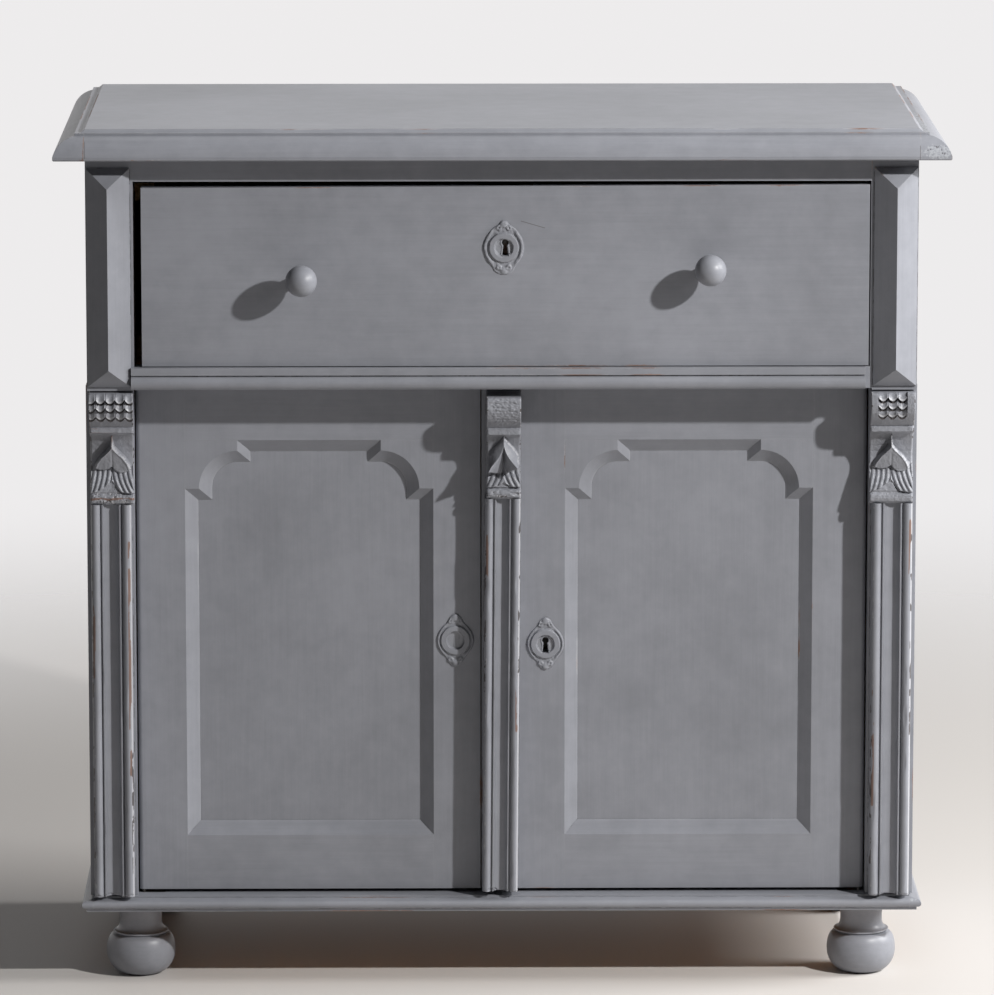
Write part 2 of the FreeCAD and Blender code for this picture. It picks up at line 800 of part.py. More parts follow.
def make_drawer():
    """The drawer box with its dovetails, lock and keyhole plate."""
    top_left_z = frieze_bottom_z - drawer_gap_top_left
    top_right_z = frieze_bottom_z - drawer_gap_top_right
    steps = [(drawer_right_x, drawer_bottom_z), (drawer_right_x, top_right_z), (drawer_left_x, top_left_z)]
    front = along_y((drawer_left_x, drawer_bottom_z), steps, drawer_face_y, drawer_inner_y)
    bottom = drawer_bottom_box()
    front = front.cut(bottom)
    for side, name, edge in ((LEFT_SIDE, "left", drawer_left_x), (RIGHT_SIDE, "right", drawer_right_x)):
        inner = edge - side * drawer_side_thickness
        board = box(min(edge, inner), max(edge, inner), drawer_inner_y, drawer_end_y,
                    drawer_side_bottom_z, drawer_side_top_z)
        for tail in tails(side):
            board = board.fuse(tail)
            front = front.cut(tail)
        write("drawer_side_" + name, board.removeSplitter().cut(bottom))

    lock_half = drawer_lock_width / 2
    lock_y = drawer_inner_y - drawer_lock_depth
    recess = box(drawer_keyhole_x - lock_half, drawer_keyhole_x + lock_half, lock_y, drawer_inner_y + overrun,
                 drawer_lock_top_z - drawer_lock_height, frieze_bottom_z)
    case = box(drawer_keyhole_x - lock_half, drawer_keyhole_x + lock_half, lock_y, drawer_inner_y,
               drawer_lock_top_z - drawer_lock_height, drawer_lock_top_z)
    case = case.cut(drawer_bolt_box(bolt_clearance))
    key_space = keyhole(drawer_keyhole_x, drawer_face_y - plate_ring_height - overrun,
                        drawer_inner_y - lock_wall, drawer_keyhole_z)
    front = front.cut(recess).cut(key_space)
    for x, z in knob_places():
        place = V(x, drawer_face_y, z)
        front = front.cut(Part.makeCylinder(knob_spigot_radius, knob_spigot_length, place, BACK))
    write("drawer_front", front)
    write("drawer_lock_case", case.cut(key_space))
    write("drawer_lock_bolt", drawer_bolt_box(0))
    plate = keyhole_plate(drawer_plate_x, drawer_face_y, drawer_plate_z, drawer_plate_radius,
                          drawer_plate_height)
    write("drawer_escutcheon", plate.cut(key_space))
    write("drawer_bottom", bottom)
    inner_left = drawer_left_x + drawer_side_thickness
    inner_right = drawer_right_x - drawer_side_thickness
    back_bottom_z = drawer_side_bottom_z + drawer_bottom_lift + drawer_bottom_thickness
    write("drawer_back", box(inner_left, inner_right, drawer_end_y - drawer_side_thickness, drawer_end_y,
                             back_bottom_z, drawer_side_top_z))


def knob_places():
    """X and Z of the two knobs."""
    half = (drawer_right_x - drawer_left_x) * knob_spacing_share / 2
    return [
        (drawer_middle_x - half, drawer_bottom_z + knob_left_height),
        (drawer_middle_x + half, drawer_bottom_z + knob_right_height),
    ]


def make_knobs():
    """Two ball knobs, each with a hollow neck and a spigot through the drawer front."""
    root_reach = knob_centre_reach - math.sqrt(knob_radius ** 2 - knob_root_radius ** 2)
    knobs = []
    for x, z in knob_places():
        knobs.append(turned_forward(x, drawer_face_y, z, (0, -knob_spigot_length), [
            (knob_spigot_radius, -knob_spigot_length),
            (knob_spigot_radius, 0),
            (knob_foot_radius, 0),
            ((knob_neck_radius, knob_neck_reach), (knob_root_radius, root_reach)),
            ((knob_radius, knob_centre_reach), (0, knob_reach)),
        ]))
    write("drawer_knobs", *knobs)


def slanted(x0, x1, z0, z1, left, right, low, high):
    """A block that narrows from the door's face to its panel by the bevel, on its sloped sides."""
    grown = overrun * bevel_run / bevel_depth
    y0 = door_face_y - overrun
    across = along_z((x0 - grown * left, y0), [
        (x1 + grown * right, y0),
        (x1 - bevel_run * right, panel_face_y),
        (x0 + bevel_run * left, panel_face_y),
    ], z0 - grown, z1 + grown)
    upright = along_x((y0, z0 - grown * low), [
        (y0, z1 + grown * high),
        (panel_face_y, z1 - bevel_run * high),
        (panel_face_y, z0 + bevel_run * low),
    ], x0 - grown, x1 + grown)
    return across.common(upright)


def panel_hollow(x0, x1):
    """The bevelled space in front of a door's panel: a rectangle with stepped round upper corners."""
    z0 = panel_bottom_z
    z1 = panel_top_z
    round_x0 = x0 + corner_step + corner_radius
    round_x1 = x1 - corner_step - corner_radius
    round_z = z1 - corner_shoulder - corner_radius
    shape = slanted(x0, x1, z0, round_z, SLOPED, SLOPED, SLOPED, SLOPED)
    middle_z = (z0 + round_z) / 2
    sides = slanted(x0 + corner_step, x1 - corner_step, middle_z, round_z, SLOPED, SLOPED, SQUARE, SQUARE)
    crown = slanted(round_x0, round_x1, middle_z, z1, SLOPED, SLOPED, SQUARE, SLOPED)
    shoulders = slanted(round_x0, round_x1, middle_z, round_z + corner_radius, SQUARE, SQUARE, SQUARE, SLOPED)
    shape = shape.fuse(sides).fuse(crown).fuse(shoulders)
    grown = corner_radius + overrun * bevel_run / bevel_depth
    for x in (round_x0, round_x1):
        cone = Part.makeCone(grown, corner_radius - bevel_run, bevel_depth + overrun,
                             V(x, door_face_y - overrun, round_z), BACK)
        shape = shape.fuse(cone)
    return shape.removeSplitter()


def spandrel_blank(x0, inward):
    """The corner block that holds a stepped round corner; inward is the side its opening lies on."""
    z1 = panel_top_z
    low_z = z1 - corner_shoulder - corner_radius
    inner = x0 + inward * (corner_step + corner_radius)
    start = (x0, z1)
    steps = [
        (x0, low_z),
        (x0 + inward * bevel_run, low_z - bevel_run),
        (inner + inward * bevel_run, low_z - bevel_run),
        (inner + inward * bevel_run, z1 - bevel_run),
        (inner, z1),
    ]
    return along_y(start, steps, door_face_y, panel_face_y)


def upright_outline(outer, sight, inner):
    """Outline of a door stile: straight outside, mitred to the rails at the bevel."""
    start = (outer, door_bottom_z)
    steps = [
        (outer, door_top_z), (sight, door_top_z), (sight, panel_top_z), (inner, panel_top_z - bevel_run),
        (inner, panel_bottom_z + bevel_run), (sight, panel_bottom_z), (sight, door_bottom_z),
    ]
    return start, steps


def cross_outline(x0, x1, outer_z, sight_z, inner_z):
    """Outline of a door rail between the stiles."""
    start = (x0, outer_z)
    steps = [
        (x0, sight_z), (x0 + bevel_run, inner_z), (x1 - bevel_run, inner_z), (x1, sight_z), (x1, outer_z),
    ]
    return start, steps


def make_door(name, hinge_edge, free_edge, hinge_stile, lock_stile):
    """One framed door; gives back its hinge stile and lock stile, which get more cuts."""
    side = LEFT_SIDE if hinge_edge < free_edge else RIGHT_SIDE
    hinge_sight = hinge_edge - side * hinge_stile
    lock_sight = free_edge + side * lock_stile
    x0 = min(hinge_sight, lock_sight)
    x1 = max(hinge_sight, lock_sight)
    hollow = panel_hollow(x0, x1)
    back_y = panel_face_y + panel_thickness
    reach = bevel_run - panel_groove
    panel = box(x0 + reach, x1 - reach, panel_face_y, back_y, panel_bottom_z + reach, panel_top_z - reach)
    corners = [spandrel_blank(x0, RIGHT_SIDE), spandrel_blank(x1, LEFT_SIDE)]

    def member(outline):
        start, steps = outline
        shape = along_y(start, steps, door_face_y, door_back_y).cut(panel)
        for corner in corners:
            shape = shape.cut(corner)
        return shape.cut(hollow)

    hinge = member(upright_outline(hinge_edge, hinge_sight, hinge_sight - side * bevel_run))
    lock = member(upright_outline(free_edge, lock_sight, lock_sight + side * bevel_run))
    write(name + "_top_rail", member(cross_outline(x0, x1, door_top_z, panel_top_z, panel_top_z - bevel_run)))
    write(name + "_bottom_rail",
          member(cross_outline(x0, x1, door_bottom_z, panel_bottom_z, panel_bottom_z + bevel_run)))
    write(name + "_spandrels", *[corner.cut(hollow) for corner in corners])
    write(name + "_panel", panel)
    return hinge, lock


def pivot_cuts():
    """What the pivots take out of a right-hand door: the rounded edge and two pin holes."""
    corner = box(pivot_x, door_edge + overrun, door_face_y - overrun, pivot_y, door_bottom_z - overrun,
                 door_top_z + overrun)
    corner = corner.cut(Part.makeCylinder(pivot_inset, door_top_z - door_bottom_z + 2 * overrun,
                                          V(pivot_x, pivot_y, door_bottom_z - overrun)))
    radius = pivot_pin_radius + pivot_clearance
    depth = pivot_pin_length + overrun
    low = Part.makeCylinder(radius, depth, V(pivot_x, pivot_y, base_top_z))
    high = Part.makeCylinder(radius, depth, V(pivot_x, pivot_y, mid_rail_bottom_z - depth))
    return [corner, low, high]


def make_pivots():
    """Iron plates let into the bottom board and the rail above, each with a pin."""
    low = pivot_plate_box(base_top_z - pivot_plate_thickness, base_top_z)
    low = low.fuse(Part.makeCylinder(pivot_pin_radius, pivot_pin_length, V(pivot_x, pivot_y, base_top_z)))
    high = pivot_plate_box(mid_rail_bottom_z, mid_rail_bottom_z + pivot_plate_thickness)
    high = high.fuse(Part.makeCylinder(pivot_pin_radius, pivot_pin_length,
                                       V(pivot_x, pivot_y, mid_rail_bottom_z - pivot_pin_length)))
    write("door_pivots", *both_sides(low), *both_sides(high))


def blind_plate(x, z):
    """The left door's plate, with a painted disc and a slot where a keyhole would be."""
    plate = keyhole_plate(x, door_face_y, z, door_plate_radius, door_plate_height)
    slot_y = door_face_y - blind_disc_height
    disc = Part.makeCylinder(blind_disc_radius, blind_disc_height, V(x, slot_y, z), BACK)
    slot = box(x - blind_slot_width / 2, x + blind_slot_width / 2, slot_y, slot_y + blind_slot_depth,
               z - blind_slot_length / 2, z + blind_slot_length / 2)
    return plate.fuse(disc).removeSplitter().cut(slot)


def door_bolt_box(clearance):
    """The right door's bolt at rest, or its slot when a clearance is given."""
    y0 = door_back_y + (door_lock_depth - bolt_thickness) / 2
    half = bolt_width / 2 + clearance
    return box(lock_left_x, lock_left_x + bolt_length + clearance,
               y0 - clearance, y0 + bolt_thickness + clearance,
               right_keyhole_z - half, right_keyhole_z + half)


def keeper():
    """The staple on the left door that takes the right door's bolt."""
    x1 = left_door_end - keeper_inset
    x0 = lock_left_x - door_bolt_travel - bolt_end_gap
    bolt_y = door_back_y + (door_lock_depth - bolt_thickness) / 2
    half = bolt_width / 2 + bolt_clearance
    outer = box(x0, x1, door_back_y, bolt_y + bolt_thickness + bolt_clearance + keeper_wall,
                right_keyhole_z - half - keeper_wall, right_keyhole_z + half + keeper_wall)
    hole = box(x0, x1, bolt_y - bolt_clearance, bolt_y + bolt_thickness + bolt_clearance,
               right_keyhole_z - half, right_keyhole_z + half)
    return outer.cut(hole)


def bolt_staple(z):
    """A staple that guides the left door's slide bolt, its lower edge at z."""
    half = slide_bolt_width / 2 + bolt_clearance
    back_y = door_back_y + slide_bolt_thickness + 2 * bolt_clearance
    outer = box(slide_bolt_x - half - staple_wall, slide_bolt_x + half + staple_wall, door_back_y,
                back_y + staple_wall, z, z + staple_height)
    return outer.cut(box(slide_bolt_x - half, slide_bolt_x + half, door_back_y, back_y, z, z + staple_height))


def slide_bolt():
    """A flat iron bolt with a thumb knob, which slides up into the rail."""
    half = slide_bolt_width / 2
    y0 = door_back_y + bolt_clearance
    bottom_z = slide_bolt_top_z - slide_bolt_length
    bar = box(slide_bolt_x - half, slide_bolt_x + half, y0, y0 + slide_bolt_thickness,
              bottom_z, slide_bolt_top_z)
    thumb = Part.makeCylinder(thumb_radius, slide_bolt_thickness + thumb_length,
                              V(slide_bolt_x, y0, (bottom_z + slide_bolt_top_z) / 2), BACK)
    return bar.fuse(thumb).removeSplitter()


def make_left_door():
    """The left door, which a slide bolt holds at its top."""
    hinge, lock = make_door("left_door", -door_edge, left_door_end, left_hinge_stile, left_lock_stile)
    for cut in pivot_cuts():
        hinge = hinge.cut(mirrored(cut))
    write("left_door_hinge_stile", hinge)
    write("left_door_lock_stile", lock)
    write("left_door_escutcheon", blind_plate(-left_plate_x, left_plate_z))
    upper_z = slide_bolt_top_z - staple_end_gap - staple_height
    lower_z = slide_bolt_top_z - slide_bolt_length + staple_end_gap
    write("left_door_staples", keeper(), bolt_staple(upper_z), bolt_staple(lower_z))
    write("left_door_bolt", slide_bolt())


def make_right_door():
    """The right door, with the lock and the keyhole."""
    hinge, lock = make_door("right_door", door_edge, meeting_x, right_hinge_stile, right_lock_stile)
    for cut in pivot_cuts():
        hinge = hinge.cut(cut)
    write("right_door_hinge_stile", hinge)
    key_space = keyhole(right_plate_x, door_face_y - plate_ring_height - overrun,
                        door_back_y + door_lock_depth - lock_wall, right_keyhole_z)
    write("right_door_lock_stile", lock.cut(key_space))
    plate = keyhole_plate(right_plate_x, door_face_y, right_plate_z, door_plate_radius, door_plate_height)
    write("right_door_escutcheon", plate.cut(key_space))
    case = box(lock_left_x, lock_left_x + door_lock_width, door_back_y, door_back_y + door_lock_depth,
               right_keyhole_z - door_lock_height / 2, right_keyhole_z + door_lock_height / 2)
    write("right_door_lock_case", case.cut(door_bolt_box(bolt_clearance)).cut(key_space))
    write("right_door_lock_bolt", door_bolt_box(0))


os.makedirs("parts", exist_ok=True)
make_top()
make_sides_and_back()
make_rails()
make_faceted_blocks()
make_corner_ornament()
make_base()
make_inside()
make_pivots()
make_drawer()
make_knobs()
make_left_door()
make_right_door()
make_centre_ornament()
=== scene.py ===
"""Looks of a grey painted pine cupboard: one wide drawer over two panelled doors, on turned feet.

Sizes are in millimetres and become metres when a mesh is made. X runs to the right, Y to the back
and Z up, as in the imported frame.
"""

import itertools
import logging
import math
from dataclasses import dataclass
from enum import Enum
from typing import Any, Callable, ClassVar, Iterable, Sequence

import bpy
import numpy as np
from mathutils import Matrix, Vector


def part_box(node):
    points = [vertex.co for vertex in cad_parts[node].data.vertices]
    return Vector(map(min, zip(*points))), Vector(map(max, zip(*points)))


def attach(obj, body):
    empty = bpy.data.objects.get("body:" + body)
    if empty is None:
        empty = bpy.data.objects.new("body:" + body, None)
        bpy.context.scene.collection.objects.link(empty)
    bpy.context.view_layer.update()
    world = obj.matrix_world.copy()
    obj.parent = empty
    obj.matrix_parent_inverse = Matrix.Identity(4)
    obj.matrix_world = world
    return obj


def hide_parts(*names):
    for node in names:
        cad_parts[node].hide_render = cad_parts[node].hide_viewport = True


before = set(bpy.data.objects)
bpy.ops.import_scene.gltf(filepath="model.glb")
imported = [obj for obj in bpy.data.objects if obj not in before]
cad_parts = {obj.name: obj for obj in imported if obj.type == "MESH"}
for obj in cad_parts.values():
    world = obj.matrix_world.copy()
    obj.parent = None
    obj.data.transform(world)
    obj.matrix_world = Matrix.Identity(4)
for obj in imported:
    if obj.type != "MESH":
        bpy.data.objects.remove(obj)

MM = 0.001
LOG = logging.getLogger("cupboard")
Pair = tuple[float, float]
Triple = tuple[float, float, float]
Colour = tuple[float, float, float, float]


def from_screen(red: int, green: int, blue: int) -> Colour:
    """A colour seen on a screen, as the linear colour that a material takes.

    Args:
        red, green, blue: parts from 0 to 255.

    Returns:
        The linear colour with an alpha of one.
    """
    parts = [part / 255 for part in (red, green, blue)]
    linear = [part / 12.92 if part <= 0.04045 else ((part + 0.055) / 1.055) ** 2.4
              for part in parts]
    return (linear[0], linear[1], linear[2], 1.0)


# Colours
GREY_DEEP, GREY_PALE = from_screen(120, 122, 128), from_screen(143, 145, 152)
PAINTED_EDGE_HIGHLIGHT, CHIP_PALE = from_screen(160, 162, 166), from_screen(182, 184, 188)
# Mark colours: the pale one also paints highlights, the dark one also paints shade
PALE_CHIP_AND_HIGHLIGHT, MARK_WORN = from_screen(172, 173, 177), from_screen(108, 82, 70)
DARK_CHIP_AND_SHADE = from_screen(50, 42, 39)
CRACK, SCRATCHED = from_screen(56, 50, 50), from_screen(70, 64, 62)
SCUFFED, PITTED = from_screen(178, 182, 186), from_screen(50, 44, 42)
RUBBED_PINE_PALE, RUBBED_PINE_DEEP = from_screen(148, 110, 86), from_screen(104, 70, 52)
RUBBED_STAIN = from_screen(84, 58, 46)
RUBBED_IRON_DARK, RUBBED_IRON_BROWN = from_screen(84, 78, 74), from_screen(112, 92, 78)
RAW_PINE_PALE, RAW_PINE_DEEP = from_screen(188, 146, 98), from_screen(146, 100, 60)
RAW_DIRT, RAW_END_GRAIN = from_screen(92, 70, 52), from_screen(88, 58, 36)
OLD_PINE_PALE, OLD_PINE_DEEP = from_screen(190, 156, 112), from_screen(152, 112, 74)
OLD_GRIME = from_screen(88, 66, 48)
IRON_DARK, IRON_PALE = from_screen(60, 58, 57), from_screen(96, 93, 90)
RUST_DARK, RUST_PALE = from_screen(84, 48, 30), from_screen(134, 80, 46)
FLOOR_COLOUR = from_screen(208, 204, 200)
LAMP_COLOUR = (1.0, 0.985, 0.97)
ROOM_COLOUR = (1.0, 0.985, 0.99, 1.0)


# The noise table's length, a power of two, and the factors that turn a cell into a place in it
NOISE_LENGTH = 4096
NOISE_FACTORS = (73856093, 19349663, 83492791)


def uneven(points: np.ndarray, size: float | Sequence[float], seed: int) -> np.ndarray:
    """Smooth seeded noise over points in space.

    Args:
        points: an array whose last axis is X, Y and Z.
        size: how far apart its bumps are, for all axes or each.
        seed: which pattern.

    Returns:
        One value from -1 to 1 for each point.
    """
    table = np.random.default_rng(seed).uniform(-1, 1, NOISE_LENGTH)
    scaled = np.asarray(points, float) / np.asarray(size, float)
    cell = np.floor(scaled).astype(np.int64)
    part = scaled - cell
    part = part * part * (3 - 2 * part)
    total = np.zeros(scaled.shape[:-1])
    for corner in itertools.product((0, 1), repeat=3):
        place = (cell + np.array(corner)) @ np.array(NOISE_FACTORS)
        weight = np.prod(np.where(np.array(corner) == 1, part, 1 - part), axis=-1)
        total += weight * table[place & (NOISE_LENGTH - 1)]
    return total


@dataclass(frozen=True)
class Span:
    """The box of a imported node, in millimetres."""

    low: Triple
    high: Triple

    @classmethod
    def of(cls, node: str) -> "Span":
        """The box of a node by its name."""
        low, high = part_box(node)
        return cls(tuple(part / MM for part in low), tuple(part / MM for part in high))

    @property
    def middle(self) -> Triple:
        """The middle of the box."""
        return tuple((a + b) / 2 for a, b in zip(self.low, self.high))

    @property
    def size(self) -> Triple:
        """How long the box is on each axis."""
        return tuple(b - a for a, b in zip(self.low, self.high))


def bump_at(distance: np.ndarray, middle: float, half_width: float) -> np.ndarray:
    """A round ridge of height one.

    Args:
        distance: where each point lies.
        middle: where the ridge is highest.
        half_width: how far it reaches to each side.

    Returns:
        The height at each point.
    """
    share = np.clip(1 - ((distance - middle) / half_width) ** 2, 0, None)
    return np.sqrt(share)


def eased(value: np.ndarray, low: float, high: float) -> np.ndarray:
    """A smooth step from nought at low to one at high."""
    share = np.clip((value - low) / (high - low), 0, 1)
    return share * share * (3 - 2 * share)


# Node trees

class Value:
    """A number in a node tree. Python's operators on it add Math nodes."""

    def __init__(self, maker: "NodeMaker", socket: bpy.types.NodeSocket) -> None:
        """Wraps a socket of the maker's tree."""
        self.maker = maker
        self.socket = socket

    def math(self, operation: str, *terms: Any) -> "Value":
        """The result of one Math node on these terms."""
        node = self.maker.node("ShaderNodeMath", {"operation": operation}, dict(enumerate(terms)))
        return Value(self.maker, node.outputs[0])

    def __add__(self, other: Any) -> "Value":
        """Sum."""
        return self.math("ADD", self, other)

    def __sub__(self, other: Any) -> "Value":
        """Difference."""
        return self.math("SUBTRACT", self, other)

    def __rsub__(self, other: Any) -> "Value":
        """Difference, with this value taken away."""
        return self.math("SUBTRACT", other, self)

    def __mul__(self, other: Any) -> "Value":
        """Product."""
        return self.math("MULTIPLY", self, other)

    def __truediv__(self, other: Any) -> "Value":
        """Quotient."""
        return self.math("DIVIDE", self, other)

    def __pow__(self, other: Any) -> "Value":
        """Power."""
        return self.math("POWER", self, other)

    def __abs__(self) -> "Value":
        """Size without its sign."""
        return self.math("ABSOLUTE", self)

    def __gt__(self, other: Any) -> "Value":
        """One where it is greater."""
        return self.math("GREATER_THAN", self, other)

    __radd__ = __add__
    __rmul__ = __mul__

    def larger(self, other: Any) -> "Value":
        """The larger of the two."""
        return self.math("MAXIMUM", self, other)

    def eased(self, low: float, high: float) -> "Value":
        """A smooth step from nought at low to one at high."""
        node = self.maker.node("ShaderNodeMapRange", {"interpolation_type": "SMOOTHSTEP"},
                               {0: self, 1: low, 2: high, 3: 0.0, 4: 1.0})
        return Value(self.maker, node.outputs[0])


class NodeMaker:
    """Adds nodes to one tree."""

    def __init__(self, tree: bpy.types.NodeTree) -> None:
        """Works on that tree, which starts empty."""
        self.tree = tree
        tree.nodes.clear()

    def node(self, kind: str, settings: dict[str, Any] | None = None,
             inputs: dict[int | str, Any] | None = None) -> bpy.types.Node:
        """Adds a node.

        Args:
            kind: its type.
            settings: its options, set before its inputs.
            inputs: the value or link of each socket, by index or name.

        Returns:
            The node.
        """
        made = self.tree.nodes.new(kind)
        for name, value in (settings or {}).items():
            setattr(made, name, value)
        for place, value in (inputs or {}).items():
            socket = made.inputs[place]
            if isinstance(value, Value):
                self.tree.links.new(value.socket, socket)
            elif isinstance(value, bpy.types.NodeSocket):
                self.tree.links.new(value, socket)
            else:
                socket.default_value = value
        return made

    def value(self, kind: str, settings: dict[str, Any] | None = None,
              inputs: dict[int | str, Any] | None = None, output: int | str = 0) -> Value:
        """Adds a node and gives one of its outputs as a Value."""
        return Value(self, self.node(kind, settings, inputs).outputs[output])

    def noise(self, place: Any, scale: Triple, detail: float = 2.0,
              roughness: float = 0.5) -> Value:
        """Noise with its own scale on each axis.

        Args:
            place: the point socket.
            scale: bumps a metre on each axis.
            detail: how many finer layers.
            roughness: how strong they are.

        Returns:
            A value round one half.
        """
        mapped = self.node("ShaderNodeMapping", {}, {"Vector": place, "Scale": scale})
        return self.value("ShaderNodeTexNoise", {}, {"Vector": mapped.outputs[0], "Scale": 1.0,
                                                     "Detail": detail, "Roughness": roughness})

    def blend(self, factor: Any, low: Any, high: Any) -> bpy.types.NodeSocket:
        """A colour between two, by a factor."""
        node = self.node("ShaderNodeMix", {"data_type": "RGBA"}, {0: factor, 6: low, 7: high})
        return node.outputs[2]


# Finishes

class Grain(Enum):
    """Which way a board's grain and the brush ran."""

    ACROSS = 0
    DEEP = 1
    UPRIGHT = 2

    def stretched(self, along: float, athwart: float) -> Triple:
        """A noise scale with one number along the grain and another athwart it."""
        scale = [athwart, athwart, athwart]
        scale[self.value] = along
        return (scale[0], scale[1], scale[2])


@dataclass(frozen=True)
class Bare:
    """Faces that were left unpainted: those that look one way and lie past a plane.

    The plane's place is in millimetres along an axis, where 1 is Y. Its usual place is just behind
    the fronts, so that what stands proud of them stays painted all round.
    """

    looks: Triple
    axis: int = 1
    past: float = -185.0


@dataclass(frozen=True)
class Scratch:
    """A dark line cut into the paint between two points of the front, in millimetres."""

    start: Pair
    end: Pair
    width: float = 0.6

    def mask(self, nodes: NodeMaker, point: Any) -> Value:
        """One inside the line."""
        place = nodes.node("ShaderNodeSeparateXYZ", {}, {0: point})
        run, rise = self.end[0] - self.start[0], self.end[1] - self.start[1]
        length = math.hypot(run, rise)
        across = Value(nodes, place.outputs[0]) - self.start[0] * MM
        up = Value(nodes, place.outputs[2]) - self.start[1] * MM
        along = (across * (run / length) + up * (rise / length)) * (1 / MM / length)
        off = abs(across * (-rise / length) + up * (run / length)) * (1 / MM)
        return (1 - off.eased(self.width * 0.4, self.width)) * (along > 0) * ((1 - along) > 0)


@dataclass(frozen=True)
class Scuff:
    """A place where the paint is knocked rough: its middle and reach in millimetres."""

    middle: Triple
    reach: Triple

    def mask(self, nodes: NodeMaker, point: Any) -> Value:
        """One in the middle, nought outside."""
        away = nodes.node("ShaderNodeVectorMath", {"operation": "SUBTRACT"}, {
            0: point, 1: [part * MM for part in self.middle]})
        share = nodes.node("ShaderNodeVectorMath", {"operation": "DIVIDE"}, {
            0: away.outputs[0], 1: [part * MM for part in self.reach]})
        length = nodes.value("ShaderNodeVectorMath", {"operation": "LENGTH"}, {0: share.outputs[0]},
                             "Value")
        return 1 - length.eased(0.55, 1.0)


class Finish:
    """A material that is made once and then shared."""

    made: ClassVar[dict["Finish", bpy.types.Material]] = {}
    label: str = "finish"

    def fill(self, nodes: NodeMaker) -> None:
        """Builds the node tree."""
        raise NotImplementedError

    def material(self) -> bpy.types.Material:
        """The material of this finish."""
        if self not in Finish.made:
            material = bpy.data.materials.new(f"{self.label}_{len(Finish.made):02d}")
            material.use_nodes = True
            self.fill(NodeMaker(material.node_tree))
            Finish.made[self] = material
        return Finish.made[self]

    @staticmethod
    def surface(nodes: NodeMaker, colour: Any, roughness: Any, height: Any, depth: float,
                rounding: float = 0.0, metallic: Any = 0.0, specular: float = 0.5) -> None:
        """Adds the shader and the output.

        Args:
            nodes: the tree's maker.
            colour: base colour.
            roughness: roughness.
            height: relief, from nought to one.
            depth: millimetres that one unit of relief stands for.
            rounding: millimetres by which the light softens hard edges.
            metallic: how much of it is bare metal.
            specular: strength of the gloss.
        """
        bump = nodes.node("ShaderNodeBump", {}, {
            "Strength": 1.0, "Distance": depth * MM, "Height": height})
        if rounding:
            soft = nodes.node("ShaderNodeBevel", {"samples": 4}, {"Radius": rounding * MM})
            nodes.tree.links.new(soft.outputs[0], bump.inputs["Normal"])
        shader = nodes.node("ShaderNodeBsdfPrincipled", {}, {
            "Base Color": colour, "Roughness": roughness, "Metallic": metallic,
            "Specular IOR Level": specular, "Normal": bump.outputs[0]})
        nodes.node("ShaderNodeOutputMaterial", {}, {"Surface": shader.outputs[0]})


def pine_layer(nodes: NodeMaker, point: Any, grain: Grain, pale: Any,
               deep: Any) -> tuple[Any, Value]:
    """Pine boards: early and late wood in long bands, with fine pores.

    Args:
        nodes: the tree's maker.
        point: the object point.
        grain: which way the board runs.
        pale: colour of the early wood.
        deep: colour of the late wood.

    Returns:
        The colour and the relief.
    """
    bands = nodes.noise(point, grain.stretched(1.6, 42), 3, 0.45)
    rings = nodes.value("ShaderNodeMath", {"operation": "SINE"}, {0: bands * 62})
    pores = nodes.noise(point, grain.stretched(30, 1400), 2, 0.6)
    share = rings * 0.22 + pores * 0.6 + 0.2
    return nodes.blend(share.eased(0.1, 0.95), pale, deep), rings * 0.3 + pores


@dataclass(frozen=True)
class Pine(Finish):
    """Bare pine that has gone brown with age."""

    grain: Grain
    age: float = 0.35
    label: ClassVar[str] = "bare_pine"

    def fill(self, nodes: NodeMaker) -> None:
        """Builds the node tree."""
        point = nodes.node("ShaderNodeTexCoord").outputs["Object"]
        wood, relief = pine_layer(nodes, point, self.grain, OLD_PINE_PALE, OLD_PINE_DEEP)
        cloud = nodes.noise(point, (5, 5, 5), 3)
        grime = (cloud.eased(0.3, 0.8) * 0.3 + 0.32) * self.age * 1.6
        colour = nodes.blend(grime, wood, OLD_GRIME)
        self.surface(nodes, colour, 0.62 + relief * 0.12, relief, 0.12, rounding=0.6, specular=0.3)


